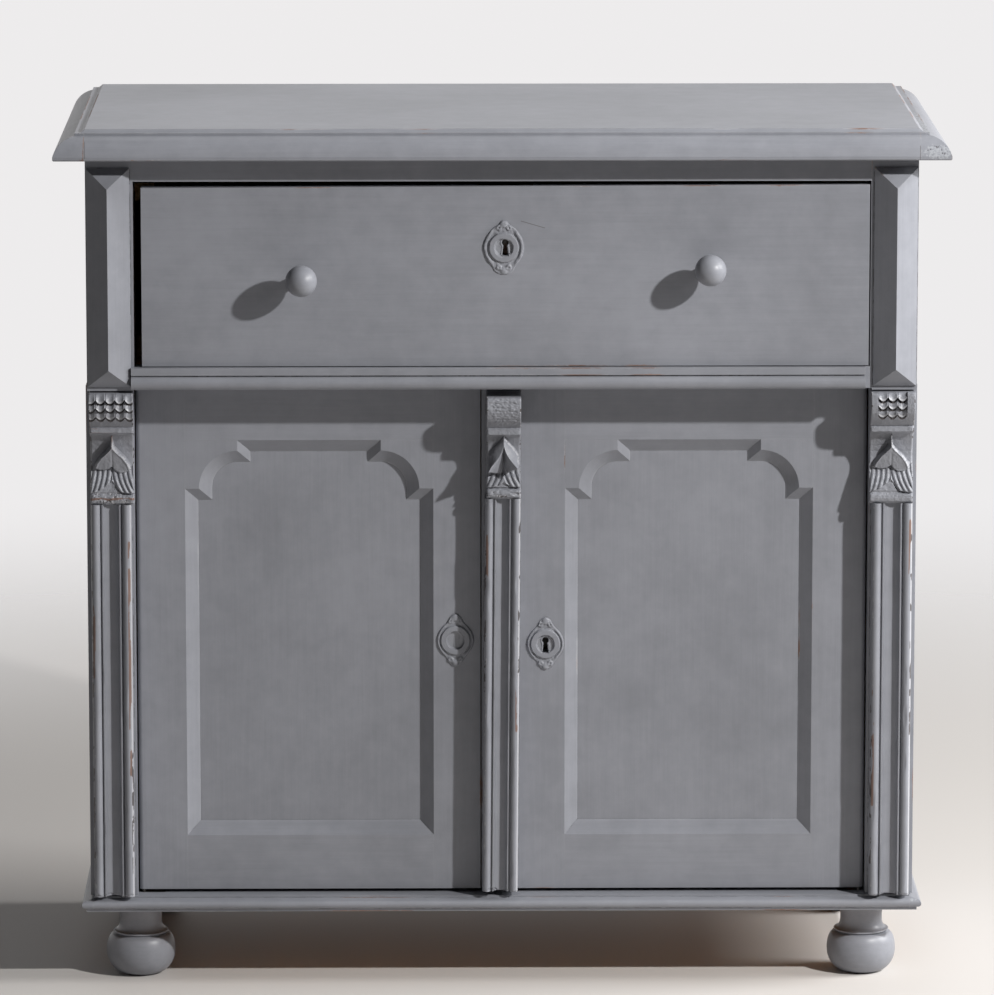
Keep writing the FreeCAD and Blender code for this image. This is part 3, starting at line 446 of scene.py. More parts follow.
@dataclass(frozen=True)
class Paint(Finish):
    """Grey matt paint brushed over pine or iron, rubbed through on its edges, with a painted
    highlight along them.
    """

    grain: Grain
    wear: float = 0.3
    reach: float = 2.0
    bare: tuple[Bare, ...] = ()
    over_iron: bool = False
    marked: bool = False
    seams: bool = False
    scratches: tuple[Scratch, ...] = ()
    scuffs: tuple[Scuff, ...] = ()
    seam_reach: ClassVar[float] = 1.6
    label: ClassVar[str] = "grey_paint"

    def fill(self, nodes: NodeMaker) -> None:
        """Builds the node tree."""
        coordinates = nodes.node("ShaderNodeTexCoord")
        point = coordinates.outputs["Object"]
        strokes = nodes.noise(point, self.grain.stretched(7, 210), 3, 0.55)
        hairs = nodes.noise(point, self.grain.stretched(26, 900), 2, 0.6)
        cloud = nodes.noise(point, (4.2, 4.2, 4.2), 3, 0.5)
        spots = nodes.noise(point, (42, 42, 42), 4, 0.6)
        tone = strokes * 0.13 + hairs * 0.09 + cloud * 0.5 + spots * 0.28
        grey = nodes.blend(tone.eased(0.25, 0.75), GREY_DEEP, GREY_PALE)

        inside = nodes.value("ShaderNodeAmbientOcclusion",
                             {"samples": 6, "inside": True, "only_local": True},
                             {"Distance": self.reach * MM}, "AO")
        edge = 1 - inside
        speckle = nodes.noise(point, (150, 150, 150), 3, 0.6)
        patches = nodes.noise(point, (9, 9, 9), 2)
        worn = patches.eased(0.86 - self.wear * 0.5, 0.93 - self.wear * 0.5)
        rubbed = ((edge * 1.5 + (speckle - 0.5) * 1.3 - 0.35).eased(0.0, 0.12)
                  * edge.eased(0.04, 0.12))
        rubbed = rubbed * worn
        under = self.under_coat(nodes, point, speckle, patches)
        # A painted highlight: the paint is lightened along every convex edge
        edge_highlight = nodes.blend(edge * 0.25, grey, PAINTED_EDGE_HIGHLIGHT)
        flecks = nodes.noise(point, (95, 95, 95), 3, 0.65)
        chipped = ((edge * 1.6 + (flecks - 0.5) * 1.8 - 0.55).eased(0.0, 0.1)
                   * edge.eased(0.04, 0.12))
        chipped = chipped * patches.eased(0.82 - self.wear * 0.5, 0.92 - self.wear * 0.5)
        painted = nodes.blend(rubbed * 0.9, nodes.blend(chipped * 0.6, edge_highlight, CHIP_PALE), under)
        painted = self.damaged(nodes, point, speckle, painted)
        relief = strokes * 0.35 + hairs * 0.35 + spots * 0.5 - rubbed * 0.6
        for scuff in self.scuffs:
            here = scuff.mask(nodes, point)
            pits = nodes.noise(point, (330, 330, 330), 3, 0.6)
            pale = (here * 0.5 + (pits - 0.5) * 2.4).eased(0.3, 0.7) * here.eased(0.02, 0.3)
            painted = nodes.blend(pale * 0.45, painted, SCUFFED)
            painted = nodes.blend((here * 0.4 - pits).eased(0.0, 0.04) * 0.85, painted, PITTED)
            relief = relief + here * (pits - 0.5) * 3
        roughness = 0.33 + hairs * 0.12 + rubbed * 0.2
        if self.bare:
            normal = coordinates.outputs["Normal"]
            raw = self.raw_wood(nodes, point, normal, cloud)
            mask = self.bare_mask(nodes, normal, point)
            painted = nodes.blend(mask, painted, raw)
            roughness = roughness + mask * 0.15
        self.surface(nodes, painted, roughness, relief, 0.12, rounding=0.6, specular=0.32)

    def under_coat(self, nodes: NodeMaker, point: Any, speckle: Value,
                   patches: Value) -> bpy.types.NodeSocket:
        """What shows where the paint is rubbed through.

        Args:
            nodes: the tree's maker.
            point: the object point.
            speckle, patches: fine and broad noise.

        Returns:
            The colour of the stained wood, or of the iron.
        """
        if self.over_iron:
            return nodes.blend(speckle, RUBBED_IRON_DARK, RUBBED_IRON_BROWN)
        wood, _ = pine_layer(nodes, point, self.grain, RUBBED_PINE_PALE, RUBBED_PINE_DEEP)
        return nodes.blend(patches.eased(0.35, 0.7), RUBBED_STAIN, wood)

    def damaged(self, nodes: NodeMaker, point: Any, speckle: Value, painted: Any) -> Any:
        """Adds the marks that a mesh carries, among them painted highlights and painted shade, the
        cracks along its joints and its scratches.

        Args:
            nodes: the tree's maker.
            point: the object point.
            speckle: fine noise that frays the marks.
            painted: the paint's colour so far.

        Returns:
            The colour with them.
        """
        if self.marked:
            # The pale marks carry painted highlights as well as chips, and the dark marks painted
            # shade as well as knocks
            for name, tint in (("pale", PALE_CHIP_AND_HIGHLIGHT), ("worn", MARK_WORN), ("dark", DARK_CHIP_AND_SHADE)):
                mark = nodes.value("ShaderNodeAttribute", {"attribute_name": name}, {}, "Fac")
                ragged = (mark + (speckle - 0.5) * 0.7).eased(0.35, 0.6) * mark.eased(0.02, 0.2)
                painted = nodes.blend(ragged * 0.85, painted, tint)
        if self.seams:
            open_sky = nodes.value("ShaderNodeAmbientOcclusion", {"samples": 6},
                                   {"Distance": self.seam_reach * MM}, "AO")
            broken = nodes.noise(point, (70, 70, 70), 2, 0.6).eased(0.48, 0.56)
            crack = (0.86 - open_sky).eased(0.0, 0.14) * broken
            painted = nodes.blend(crack * 0.75, painted, CRACK)
        for scratch in self.scratches:
            painted = nodes.blend(scratch.mask(nodes, point) * 0.6, painted, SCRATCHED)
        return painted

    def raw_wood(self, nodes: NodeMaker, point: Any, normal: Any,
                 cloud: Value) -> bpy.types.NodeSocket:
        """Unpainted pine, darker on its end grain.

        Args:
            nodes: the tree's maker.
            point: the object point.
            normal: which way the surface looks.
            cloud: broad noise for the dirt.

        Returns:
            Its colour.
        """
        raw, _ = pine_layer(nodes, point, self.grain, RAW_PINE_PALE, RAW_PINE_DEEP)
        raw = nodes.blend(cloud.eased(0.3, 0.75) * 0.5 + 0.1, raw, RAW_DIRT)
        facing = nodes.node("ShaderNodeSeparateXYZ", {}, {0: normal})
        end_grain = abs(Value(nodes, facing.outputs[0])) > 0.6
        return nodes.blend(end_grain * 0.5, raw, RAW_END_GRAIN)

    def bare_mask(self, nodes: NodeMaker, normal: Any, point: Any) -> Value:
        """One on the faces that were left unpainted."""
        place = nodes.node("ShaderNodeSeparateXYZ", {}, {0: point})
        mask: Value | None = None
        for side in self.bare:
            facing = nodes.value("ShaderNodeVectorMath", {"operation": "DOT_PRODUCT"},
                                 {0: normal, 1: side.looks}, 1)
            part = (facing > 0.6) * (Value(nodes, place.outputs[side.axis]) > side.past * MM)
            mask = part if mask is None else mask.larger(part)
        return mask


@dataclass(frozen=True)
class Iron(Finish):
    """Dark wrought iron with some rust."""

    rust: float = 0.4
    label: ClassVar[str] = "iron"

    def fill(self, nodes: NodeMaker) -> None:
        """Builds the node tree."""
        point = nodes.node("ShaderNodeTexCoord").outputs["Object"]
        pits = nodes.noise(point, (240, 240, 240), 4, 0.6)
        blooms = nodes.noise(point, (38, 38, 38), 4, 0.6)
        rusty = (blooms + (self.rust - 0.5) * 0.6).eased(0.48, 0.62)
        metal = nodes.blend(pits, IRON_DARK, IRON_PALE)
        colour = nodes.blend(rusty, metal, nodes.blend(pits, RUST_DARK, RUST_PALE))
        self.surface(nodes, colour, 0.45 + rusty * 0.35, pits, 0.1, rounding=0.4,
                     metallic=0.75 - rusty * 0.7)


# Mesh making

def make_piece(name: str, points: np.ndarray, faces: Iterable[Sequence[int]], finish: Finish,
               crease: float = 32.0) -> bpy.types.Object:
    """Makes an object from points in millimetres.

    Args:
        name: the piece's name.
        points: one row a point.
        faces: point numbers of each face, seen anticlockwise from outside.
        finish: its material.
        crease: degrees above which an edge stays sharp.

    Returns:
        The object, linked to the scene.
    """
    mesh = bpy.data.meshes.new(name)
    mesh.from_pydata((np.asarray(points, float) * MM).tolist(), [], list(faces))
    mesh.validate()
    return dress_mesh(name, mesh, finish, crease)


def dress_mesh(name: str, mesh: bpy.types.Mesh, finish: Finish,
               crease: float = 32.0) -> bpy.types.Object:
    """Gives a plain mesh its object, its shading and its finish."""
    mesh.polygons.foreach_set("use_smooth", [True] * len(mesh.polygons))
    mesh.set_sharp_from_angle(angle=math.radians(crease))
    mesh.materials.clear()
    mesh.materials.append(finish.material())
    piece = bpy.data.objects.new(name, mesh)
    bpy.context.scene.collection.objects.link(piece)
    return piece


def settle(piece: bpy.types.Object, body: str, nodes: Sequence[str] = ()) -> None:
    """Lets a finished piece ride on its body and stand for its nodes.

    Args:
        piece: the object.
        body: the body that carries it.
        nodes: the nodes that it replaces.
    """
    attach(piece, body)
    if nodes:
        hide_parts(*nodes)
    LOG.info("%s: %d faces on %s", piece.name, len(piece.data.polygons), body)


@dataclass
class Relief:
    """A block with a carved front: a grid of reaches, closed at the sides and the back.

    Its walls are in two bands, so that the marks on the front end an arris behind it.
    """

    xs: np.ndarray
    zs: np.ndarray
    back_y: float
    arris: ClassVar[float] = 1.6

    def build(self, name: str, reach: Callable[[np.ndarray, np.ndarray], np.ndarray],
              finish: Finish,
              marks: Callable[[np.ndarray, np.ndarray], dict[str, np.ndarray]],
              shift: Callable[[np.ndarray], np.ndarray] | None = None) -> bpy.types.Object:
        """Makes the block.

        Args:
            name: the piece's name.
            reach: how far the front stands before the back plane, at X and Z.
            finish: its material.
            marks: where the paint is pale, worn or dark, at X and Z.
            shift: how far a level moves sideways, at Z.

        Returns:
            The object.
        """
        across, up = np.meshgrid(self.xs, self.zs, indexing="ij")
        out = reach(across, up)
        moved = across if shift is None else across + shift(up)
        front = np.stack([moved, self.back_y - out, up], axis=-1).reshape(-1, 3)
        wide, high = across.shape
        number = np.arange(wide * high).reshape(wide, high)
        quads = np.stack([number[:-1, :-1], number[1:, :-1], number[1:, 1:], number[:-1, 1:]],
                         axis=-1)
        loop = np.concatenate([number[:-1, 0], number[-1, :-1],
                               number[:0:-1, -1], number[0, :0:-1]])
        near, rear = front[loop].copy(), front[loop].copy()
        near[:, 1] = np.minimum(near[:, 1] + self.arris, (near[:, 1] + self.back_y) / 2)
        rear[:, 1] = self.back_y
        here = np.arange(len(loop)) + wide * high
        there = here + len(loop)
        walls = [np.stack([a, b, np.roll(b, -1), np.roll(a, -1)], axis=-1)
                 for a, b in ((loop, here), (here, there))]
        faces = quads.reshape(-1, 4).tolist() + np.vstack(walls).tolist() + [there[::-1].tolist()]
        piece = make_piece(name, np.vstack([front, near, rear]), faces, finish)
        for label, values in marks(across, up).items():
            kept = piece.data.attributes.new(label, "FLOAT", "POINT")
            kept.data.foreach_set("value", np.concatenate([values.ravel(),
                                                           np.zeros(2 * len(loop))]))
        return piece


# Carved and fluted wood

@dataclass
class Console:
    """A carved bracket: a block, a fillet, a hooded leaf on a hollow ground, petals and a band."""

    name: str
    body: str
    node: str
    seed: int
    step: float = 0.45
    wear: float = 0.45
    battered: float = 0.75
    # The side outline: how far down, and how far out
    outline: ClassVar[tuple[Pair, ...]] = (
        (0.0, 0.94), (0.01, 0.99), (0.03, 1.0), (0.1, 1.0), (0.14, 0.98), (0.18, 0.935),
        (0.21, 0.875), (0.235, 0.81), (0.255, 0.755), (0.28, 0.68), (0.3, 0.62), (0.31, 0.58),
        (0.317, 0.58), (0.323, 0.61), (0.36, 0.61), (0.366, 0.56), (0.385, 0.46), (0.42, 0.385),
        (0.445, 0.34), (0.5, 0.265), (0.55, 0.222), (0.6, 0.216), (0.66, 0.24), (0.7, 0.275),
        (0.74, 0.325), (0.775, 0.38), (0.83, 0.42), (0.885, 0.44), (0.899, 0.425), (0.906, 0.435),
        (0.925, 0.47), (0.95, 0.475), (0.975, 0.455), (0.99, 0.41), (1.0, 0.36),
    )
    # The leaf: how far down, and its half width in millimetres
    leaf: ClassVar[tuple[Pair, ...]] = (
        (0.39, 0.0), (0.4, 0.9), (0.444, 1.2), (0.489, 2.4), (0.534, 7.0), (0.588, 14.6),
        (0.643, 19.6), (0.692, 22.0), (0.762, 22.2),
    )
    # The hood's face: how far down, and how far out
    face: ClassVar[tuple[Pair, ...]] = (
        (0.385, 0.47), (0.44, 0.58), (0.47, 0.6), (0.54, 0.535), (0.62, 0.456), (0.7, 0.375),
    )
    rim_width: ClassVar[float] = 2.8
    # The leaf's lower edge: how far to the right in millimetres, and how far down
    leaf_low: ClassVar[tuple[Pair, ...]] = (
        (-22.0, 0.677), (-18.0, 0.697), (-11.0, 0.707), (-5.0, 0.7), (-1.0, 0.678), (0.5, 0.678),
        (4.0, 0.712), (9.0, 0.732), (15.0, 0.724), (22.0, 0.692),
    )
    petal_pitch: ClassVar[float] = 5.6
    # How far the petals lean out at their ends: those on the right, then those on the left
    petal_spread: ClassVar[Pair] = (9.0, -5.5)
    # The petals' ends: how far to the right in millimetres, and how far down
    petal_low: ClassVar[tuple[Pair, ...]] = (
        (-24.0, 0.905), (-12.0, 0.87), (-7.0, 0.84), (-3.0, 0.82), (0.0, 0.8), (2.9, 0.826),
        (6.4, 0.865), (10.7, 0.893), (20.0, 0.905),
    )
    # The leaf: its rim, its crease and its hollow left half, in millimetres, and its thin lower
    # lip, which the petals have too, as a share of the height
    rim_height: ClassVar[float] = 0.7
    rim_half: ClassVar[float] = 1.6
    crease_depth: ClassVar[float] = 0.7
    crease_half: ClassVar[float] = 1.2
    hollow_slope: ClassVar[float] = 0.035
    lip_share: ClassVar[float] = 0.012
    # The petals: how high they stand, how far they start below the ground, how much they rise, and
    # the cut under their ends
    petal_height: ClassVar[float] = 2.6
    petal_sink: ClassVar[float] = 0.5
    petal_rise: ClassVar[float] = 0.9
    petal_cut: ClassVar[float] = 2.0
    # Tool marks: how far apart and how high
    tool_marks: ClassVar[tuple[Pair, Pair]] = ((4.0, 0.26), (1.5, 0.2))
    # Millimetres at the sides where the carving falls away, how steeply, and the softened arris
    side_fall: ClassVar[float] = 1.9
    side_slope: ClassVar[float] = 0.8
    side_arris: ClassVar[float] = 0.8

    def build(self) -> None:
        """Carves the bracket and lets it stand for its node."""
        span = Span.of(self.node)
        self.middle_x, self.top_z, self.back_y = span.middle[0], span.high[2], span.high[1]
        self.width, self.reach, self.height = span.size
        half = self.width / 2
        xs = self.middle_x + np.linspace(-half, half, int(self.width / self.step) + 1)
        zs = np.linspace(self.top_z - self.height, self.top_z, int(self.height / self.step) + 1)
        finish = Paint(Grain.UPRIGHT, wear=self.wear, reach=1.6, marked=True)
        piece = Relief(xs, zs, self.back_y).build(self.name, self.reach_at, finish, self.marks_at)
        settle(piece, self.body, [self.node])

    def reach_at(self, x: np.ndarray, z: np.ndarray) -> np.ndarray:
        """How far the carving stands out at each point."""
        u = x - self.middle_x
        v = (self.top_z - z) / self.height
        downs, outs = zip(*self.outline)
        ground = np.interp(v, downs, outs) * self.reach
        ground = ground + self.petals(u, v) + self.face_marks(u, v)
        out = np.maximum(ground, self.leaf_at(u, v, ground))
        margin = self.width / 2 - np.abs(u)
        fall = np.clip(self.side_fall - margin, 0, None) * self.side_slope
        out = out - fall * eased(v, 0.3, 0.33)
        out = out - np.clip(self.side_arris - margin, 0, None)
        points = np.stack([x, z, v * 0 + self.seed], axis=-1)
        (broad, high), (fine, low) = self.tool_marks
        rough = high * uneven(points, broad, self.seed) + low * uneven(points, fine, self.seed + 1)
        return out + rough + self.band_marks(points, u, v)

    def marks_at(self, x: np.ndarray, z: np.ndarray) -> dict[str, np.ndarray]:
        """Where a highlight or shade is painted on, and where the paint is worn to the wood or
        knocked pale or dark.
        """
        u, v = x - self.middle_x, (self.top_z - z) / self.height
        side = np.abs(u)
        points = np.stack([x, z, z * 0 + self.seed], axis=-1)
        fine, coarse = uneven(points, 1.3, self.seed + 7), uneven(points, 4.5, self.seed + 8)
        edge = np.interp(v, *zip(*self.leaf))
        low = np.interp(u, *zip(*self.leaf_low))
        # A painted highlight on the leaf's rim, on its right side only
        rim = bump_at(edge - side, 1.5, 1.5) * (u > -0.6) * (v > 0.4) * (v < low)
        outer = eased(side, self.width / 2 - 2.2, self.width / 2 - 0.8)
        rough = eased(fine * 0.7 + coarse, 0.25, 0.75)
        band = eased(v, 0.885, 0.9)
        knocked = rough * np.maximum(outer * (v < 0.3), self.battered * band)
        # Pale: the painted highlight on the leaf's rim and on the scales' rims, and chips knocked
        # pale at the edges and the band
        pale = np.maximum(rim * (0.6 + 0.4 * fine), knocked)
        pale = np.maximum(pale, self.rim_highlights_at(u, v))
        # Dark: chips knocked dark at the edges and the band, and painted shade under the scales'
        # rims
        dark = eased(coarse - fine * 0.6, 0.45, 0.8) * np.maximum(outer, self.battered * band)
        dark = np.maximum(dark, self.painted_shade_at(u, v))
        return {"pale": pale, "worn": self.wood_at(u, v, points), "dark": dark}

    def wood_at(self, u: np.ndarray, v: np.ndarray, points: np.ndarray) -> np.ndarray:
        """Where bare wood shows."""
        return np.zeros_like(u)

    def rim_highlights_at(self, u: np.ndarray, v: np.ndarray) -> np.ndarray:
        """Where a highlight is painted on rims."""
        return np.zeros_like(u)

    def painted_shade_at(self, u: np.ndarray, v: np.ndarray) -> np.ndarray:
        """Where shade is painted into the cuts."""
        return np.zeros_like(u)

    def leaf_at(self, u: np.ndarray, v: np.ndarray, ground: np.ndarray) -> np.ndarray:
        """The hood of the leaf: a thin steep rim round one tilted face with a faint crease."""
        side = np.abs(u)
        edge = np.interp(v, *zip(*self.leaf))
        face = np.interp(v, *zip(*self.face)) * self.reach
        flank = np.clip((edge - side) / self.rim_width, 0, 1)
        low = np.interp(u, *zip(*self.leaf_low))
        crease = np.exp(-(u / self.crease_half) ** 2) * self.crease_depth * eased(v, 0.5, 0.6)
        hollow = self.hollow_slope * np.clip(-u, 0, None) * eased(v, 0.47, 0.6)
        rim = self.rim_height * bump_at(edge - side, self.rim_width, self.rim_half)
        rim = rim * eased(v, 0.44, 0.5)
        hood = ground + (face - crease - hollow + rim - ground) * np.sqrt(flank)
        lip = eased(low - v, 0.0, self.lip_share)
        return np.where((side < edge) & (v > self.leaf[0][0]), ground + (hood - ground) * lip, -1.0)

    def petals(self, u: np.ndarray, v: np.ndarray) -> np.ndarray:
        """Ridges that fan out below the leaf, and the cut under their ends."""
        turn = np.clip((v - 0.7) / 0.19, 0, 1.1)
        spread = np.where(u > 0, *self.petal_spread) * turn ** 1.7
        ridge = np.abs(np.sin(np.pi * (u - spread + 0.4) / self.petal_pitch)) ** 0.7
        low = np.interp(u, *zip(*self.petal_low))
        here = eased(v, 0.64, 0.68) * (1 - eased(v, low - self.lip_share, low))
        cut = np.exp(-((v - low - 0.006) / 0.007) ** 2) * eased(u, 1, 6)
        raised = self.petal_height * ridge - self.petal_sink + self.petal_rise * turn
        return here * raised - self.petal_cut * cut * eased(v, 0.8, 0.82)

    def face_marks(self, u: np.ndarray, v: np.ndarray) -> np.ndarray:
        """What is cut into the block."""
        return np.zeros_like(u)

    def band_marks(self, points: np.ndarray, u: np.ndarray, v: np.ndarray) -> np.ndarray:
        """How rough the band at the foot is."""
        return 0.25 * uneven(points, (4.0, 1.6, 1.0), self.seed + 2) * eased(v, 0.88, 0.9)


@dataclass
class CornerConsole(Console):
    """A corner bracket, with three rows of gouged scales on its block."""

    side_scales: bool = False
    band_roughness: float = 0.25
    # The block's top and the lower rims of its rows of scales, as shares of the height
    rims: tuple[float, ...] = (0.0, 0.088, 0.158, 0.236)
    scale_pitch: ClassVar[float] = 11.0
    scale_shift: ClassVar[float] = -0.7
    smile_depth: ClassVar[float] = 0.034
    # How deep a scale is cut at its top, how far its face bulges, and the cut round it
    scale_depth: ClassVar[float] = 5.6
    scale_bulge: ClassVar[float] = 2.2
    scale_cut: ClassVar[float] = 1.6
    # The painted highlight on the rims and the painted shade under them: how far above the rims,
    # and how far they reach
    rubbed: ClassVar[Pair] = (-0.011, 0.011)
    rim_highlight_strength: ClassVar[float] = 0.75
    rim_shade: ClassVar[Pair] = (0.011, 0.013)

    def scale_share(self, u: np.ndarray) -> np.ndarray:
        """Where each point lies across its own scale, from -1 to 1."""
        column = np.round((u - self.scale_shift) / self.scale_pitch)
        return (u - self.scale_shift - column * self.scale_pitch) / (self.scale_pitch / 2)

    @property
    def scales_reach(self) -> float:
        """How far the scales run to each side: three columns, or five with the side ones."""
        return (2.6 if self.side_scales else 1.5) * self.scale_pitch

    def face_marks(self, u: np.ndarray, v: np.ndarray) -> np.ndarray:
        """Scales: each hollow across, rising to a round lower rim that stands over the next one."""
        across = self.scale_share(u)
        smile = self.smile_depth * across ** 2
        cut = np.zeros_like(u)
        for upper, lower in itertools.pairwise(self.rims):
            start = upper - smile if upper else np.zeros_like(u)
            end = lower - smile
            share = np.clip((v - start) / (end - start), 0, 1)
            inside = (v >= start) & (v < end)
            bulge = (1 - across ** 2) * (0.35 + 0.65 * share) * (1 - share ** 6)
            depth = self.scale_depth * (1 - share) ** 1.7 + self.scale_bulge * bulge
            depth = depth + self.scale_cut * np.clip((np.abs(across) - 0.84) / 0.16, 0, 1)
            cut = np.where(inside, -depth, cut)
        last = self.rims[-1]
        below = np.exp(-((v - last + smile - 0.006) / 0.006) ** 2) * (v >= last - smile)
        cut = cut - self.scale_cut * below
        margin = np.abs(u - self.scale_shift) > self.scales_reach
        return np.where(margin, 0.0, cut)

    def crescents(self, u: np.ndarray, v: np.ndarray, drop: float, breadth: float) -> np.ndarray:
        """Crescents that follow the rims.

        Args:
            u, v: how far to the right in millimetres, and how far down.
            drop: how far above the rims they lie.
            breadth: how far they reach to each side.

        Returns:
            Their strength at each point.
        """
        across = self.scale_share(u)
        inside = (np.abs(u - self.scale_shift) < self.scales_reach) * (1 - 0.5 * across ** 2)
        smile = self.smile_depth * across ** 2
        return sum(bump_at(v, rim - smile + drop, breadth) for rim in self.rims[1:]) * inside

    def rim_highlights_at(self, u: np.ndarray, v: np.ndarray) -> np.ndarray:
        """A painted highlight just above the rims of the scales."""
        return self.rim_highlight_strength * self.crescents(u, v, *self.rubbed)

    def painted_shade_at(self, u: np.ndarray, v: np.ndarray) -> np.ndarray:
        """Painted shade in the crescent under each rim."""
        return self.crescents(u, v, *self.rim_shade)

    def wood_at(self, u: np.ndarray, v: np.ndarray, points: np.ndarray) -> np.ndarray:
        """A brown line on the left bracket's band, or a scuff beside the right one's scales."""
        waver = uneven(points, (7.0, 30.0, 1.0), self.seed + 9)
        if self.side_scales:
            return bump_at(v, 0.945 + 0.008 * waver, 0.012) * (0.8 + 0.4 * waver)
        return 0.75 * bump_at(u, 21.5, 3.0) * bump_at(v, 0.14, 0.08) * (0.6 + waver)

    def band_marks(self, points: np.ndarray, u: np.ndarray, v: np.ndarray) -> np.ndarray:
        """How rough the band and the patch above it are."""
        here = eased(v, 0.815, 0.83) * (1 - eased(np.abs(u), 5, 9) * (1 - eased(v, 0.895, 0.905)))
        return self.band_roughness * here * (uneven(points, (3.0, 1.7, 1.0), self.seed + 2)
                                             + 0.6 * uneven(points, (1.3, 1.1, 1.0), self.seed + 3))


@dataclass
class CentreConsole(Console):
    """The narrower bracket between the doors, with worn grooves across its block."""

    outline: ClassVar[tuple[Pair, ...]] = (
        (0.0, 0.94), (0.012, 0.985), (0.035, 1.0), (0.12, 1.0), (0.16, 0.975), (0.2, 0.93),
        (0.24, 0.86), (0.27, 0.785), (0.29, 0.735), (0.305, 0.7), (0.314, 0.7), (0.32, 0.735),
        (0.37, 0.735), (0.377, 0.69), (0.405, 0.61), (0.45, 0.55), (0.49, 0.505), (0.54, 0.49),
        (0.6, 0.47), (0.66, 0.45), (0.72, 0.43), (0.765, 0.44), (0.79, 0.49), (0.85, 0.5),
        (0.886, 0.51), (0.896, 0.48), (0.905, 0.515), (0.925, 0.55), (0.95, 0.56), (0.975, 0.54),
        (0.99, 0.5), (1.0, 0.46),
    )
    leaf: ClassVar[tuple[Pair, ...]] = (
        (0.393, 0.0), (0.41, 1.6), (0.45, 5.4), (0.514, 12.6), (0.575, 17.2), (0.627, 18.2),
        (0.672, 18.6), (0.784, 18.8),
    )
    # The crest between its flanks and its hollow face: how far down, and its half width
    crest: ClassVar[tuple[Pair, ...]] = (
        (0.393, 0.0), (0.479, 0.0), (0.514, 1.2), (0.553, 3.2), (0.592, 6.4), (0.631, 10.4),
        (0.672, 14.6), (0.725, 18.0),
    )
    # How far out the crest stands at the leaf's tip and at its end, and how fast its face falls
    crest_reach: ClassVar[Pair] = (0.68, 0.87)
    leaf_fall: ClassVar[float] = 0.85
    leaf_low: ClassVar[tuple[Pair, ...]] = (
        (-19.0, 0.725), (-12.0, 0.749), (-4.0, 0.769), (2.0, 0.766), (8.0, 0.74), (14.0, 0.705),
        (19.0, 0.678),
    )
    petal_pitch: ClassVar[float] = 6.2
    petal_spread: ClassVar[Pair] = (9.0, -8.0)
    petal_low: ClassVar[tuple[Pair, ...]] = (
        (-19.0, 0.892), (-8.0, 0.887), (-3.0, 0.862), (0.0, 0.848), (3.0, 0.862), (8.0, 0.887),
        (19.0, 0.892),
    )
    # The grooves across the block: how far down
    grooves: ClassVar[tuple[float, ...]] = (0.06, 0.099, 0.135, 0.162, 0.19, 0.216, 0.245)
    groove_half: ClassVar[float] = 0.007
    crease_depth: ClassVar[float] = 1.3
    crease_half: ClassVar[float] = 1.3
    # How far the hollow face swells, and the half width that the swell runs over
    swell_height: ClassVar[float] = 1.3
    swell_half: ClassVar[float] = 21.0
    # The nick in the band: its middle, its reach and its depth
    nick_middle: ClassVar[Pair] = (15.0, 0.952)
    nick_reach: ClassVar[Pair] = (3.2, 0.014)
    nick_depth: ClassVar[float] = 2.6

    def leaf_at(self, u: np.ndarray, v: np.ndarray, ground: np.ndarray) -> np.ndarray:
        """The hood of this leaf: steep flanks up to a crest, and a hollow face that falls away."""
        side = np.abs(u)
        edge = np.interp(v, *zip(*self.leaf))
        crest = np.interp(v, *zip(*self.crest))
        crest_downs, crest_halves = zip(*self.crest)
        above = np.interp(side, crest_halves[1:], crest_downs[1:])
        tip_out, end_out = (share * self.reach for share in self.crest_reach)
        span = self.leaf[-1][0] - self.leaf[0][0]
        here_out, above_out = (
            tip_out + (end_out - tip_out) * np.clip((down - self.leaf[0][0]) / span, 0, 1)
            for down in (v, above))
        flank = np.clip((edge - side) / np.maximum(edge - crest, 0.6), 0, 1)
        outside = ground + (here_out - ground) * np.sqrt(flank)
        low = np.interp(u, *zip(*self.leaf_low))
        crease = np.exp(-(u / self.crease_half) ** 2) * self.crease_depth * eased(v, 0.47, 0.6)
        across = np.clip(side / self.swell_half, 0, 1)
        swell = self.swell_height * np.sin(np.pi * across) * eased(v, 0.5, 0.62)
        fall = self.leaf_fall * np.clip(v - above, 0, None) * self.height
        inside = above_out - fall + swell - crease
        hood = np.where(side < crest, np.minimum(inside, above_out), outside)
        lip = eased(low - v, 0.0, self.lip_share)
        return np.where((side < edge) & (v > self.leaf[0][0]), ground + (hood - ground) * lip, -1.0)

    def face_marks(self, u: np.ndarray, v: np.ndarray) -> np.ndarray:
        """Grooves across the block that wear and paint have half filled."""
        cut = np.zeros_like(u)
        points = np.stack([u, v * self.height, v * 0], axis=-1)
        waver = 0.006 * uneven(points, (9.0, 30.0, 1.0), self.seed + 4)
        depth = 0.5 + 0.45 * uneven(points, (8.0, 4.0, 1.0), self.seed + 5)
        for groove in self.grooves:
            cut = cut - depth * np.exp(-((v - groove + waver) / self.groove_half) ** 2)
        crumbled = 0.5 * uneven(points, (2.6, 1.5, 1.0), self.seed + 6)
        here = (1 - eased(np.abs(u - 1), 13, 16)) * (1 - eased(v, 0.25, 0.29))
        return (cut + crumbled) * here

    def band_marks(self, points: np.ndarray, u: np.ndarray, v: np.ndarray) -> np.ndarray:
        """A rough band with a nick at its right end."""
        coarse = 0.55 * uneven(points, (3.2, 1.6, 1.0), self.seed + 2) * eased(v, 0.888, 0.9)
        (across, down), (wide, tall) = self.nick_middle, self.nick_reach
        nick = np.exp(-((u - across) / wide) ** 2 - ((v - down) / tall) ** 2)
        return coarse - self.nick_depth * nick


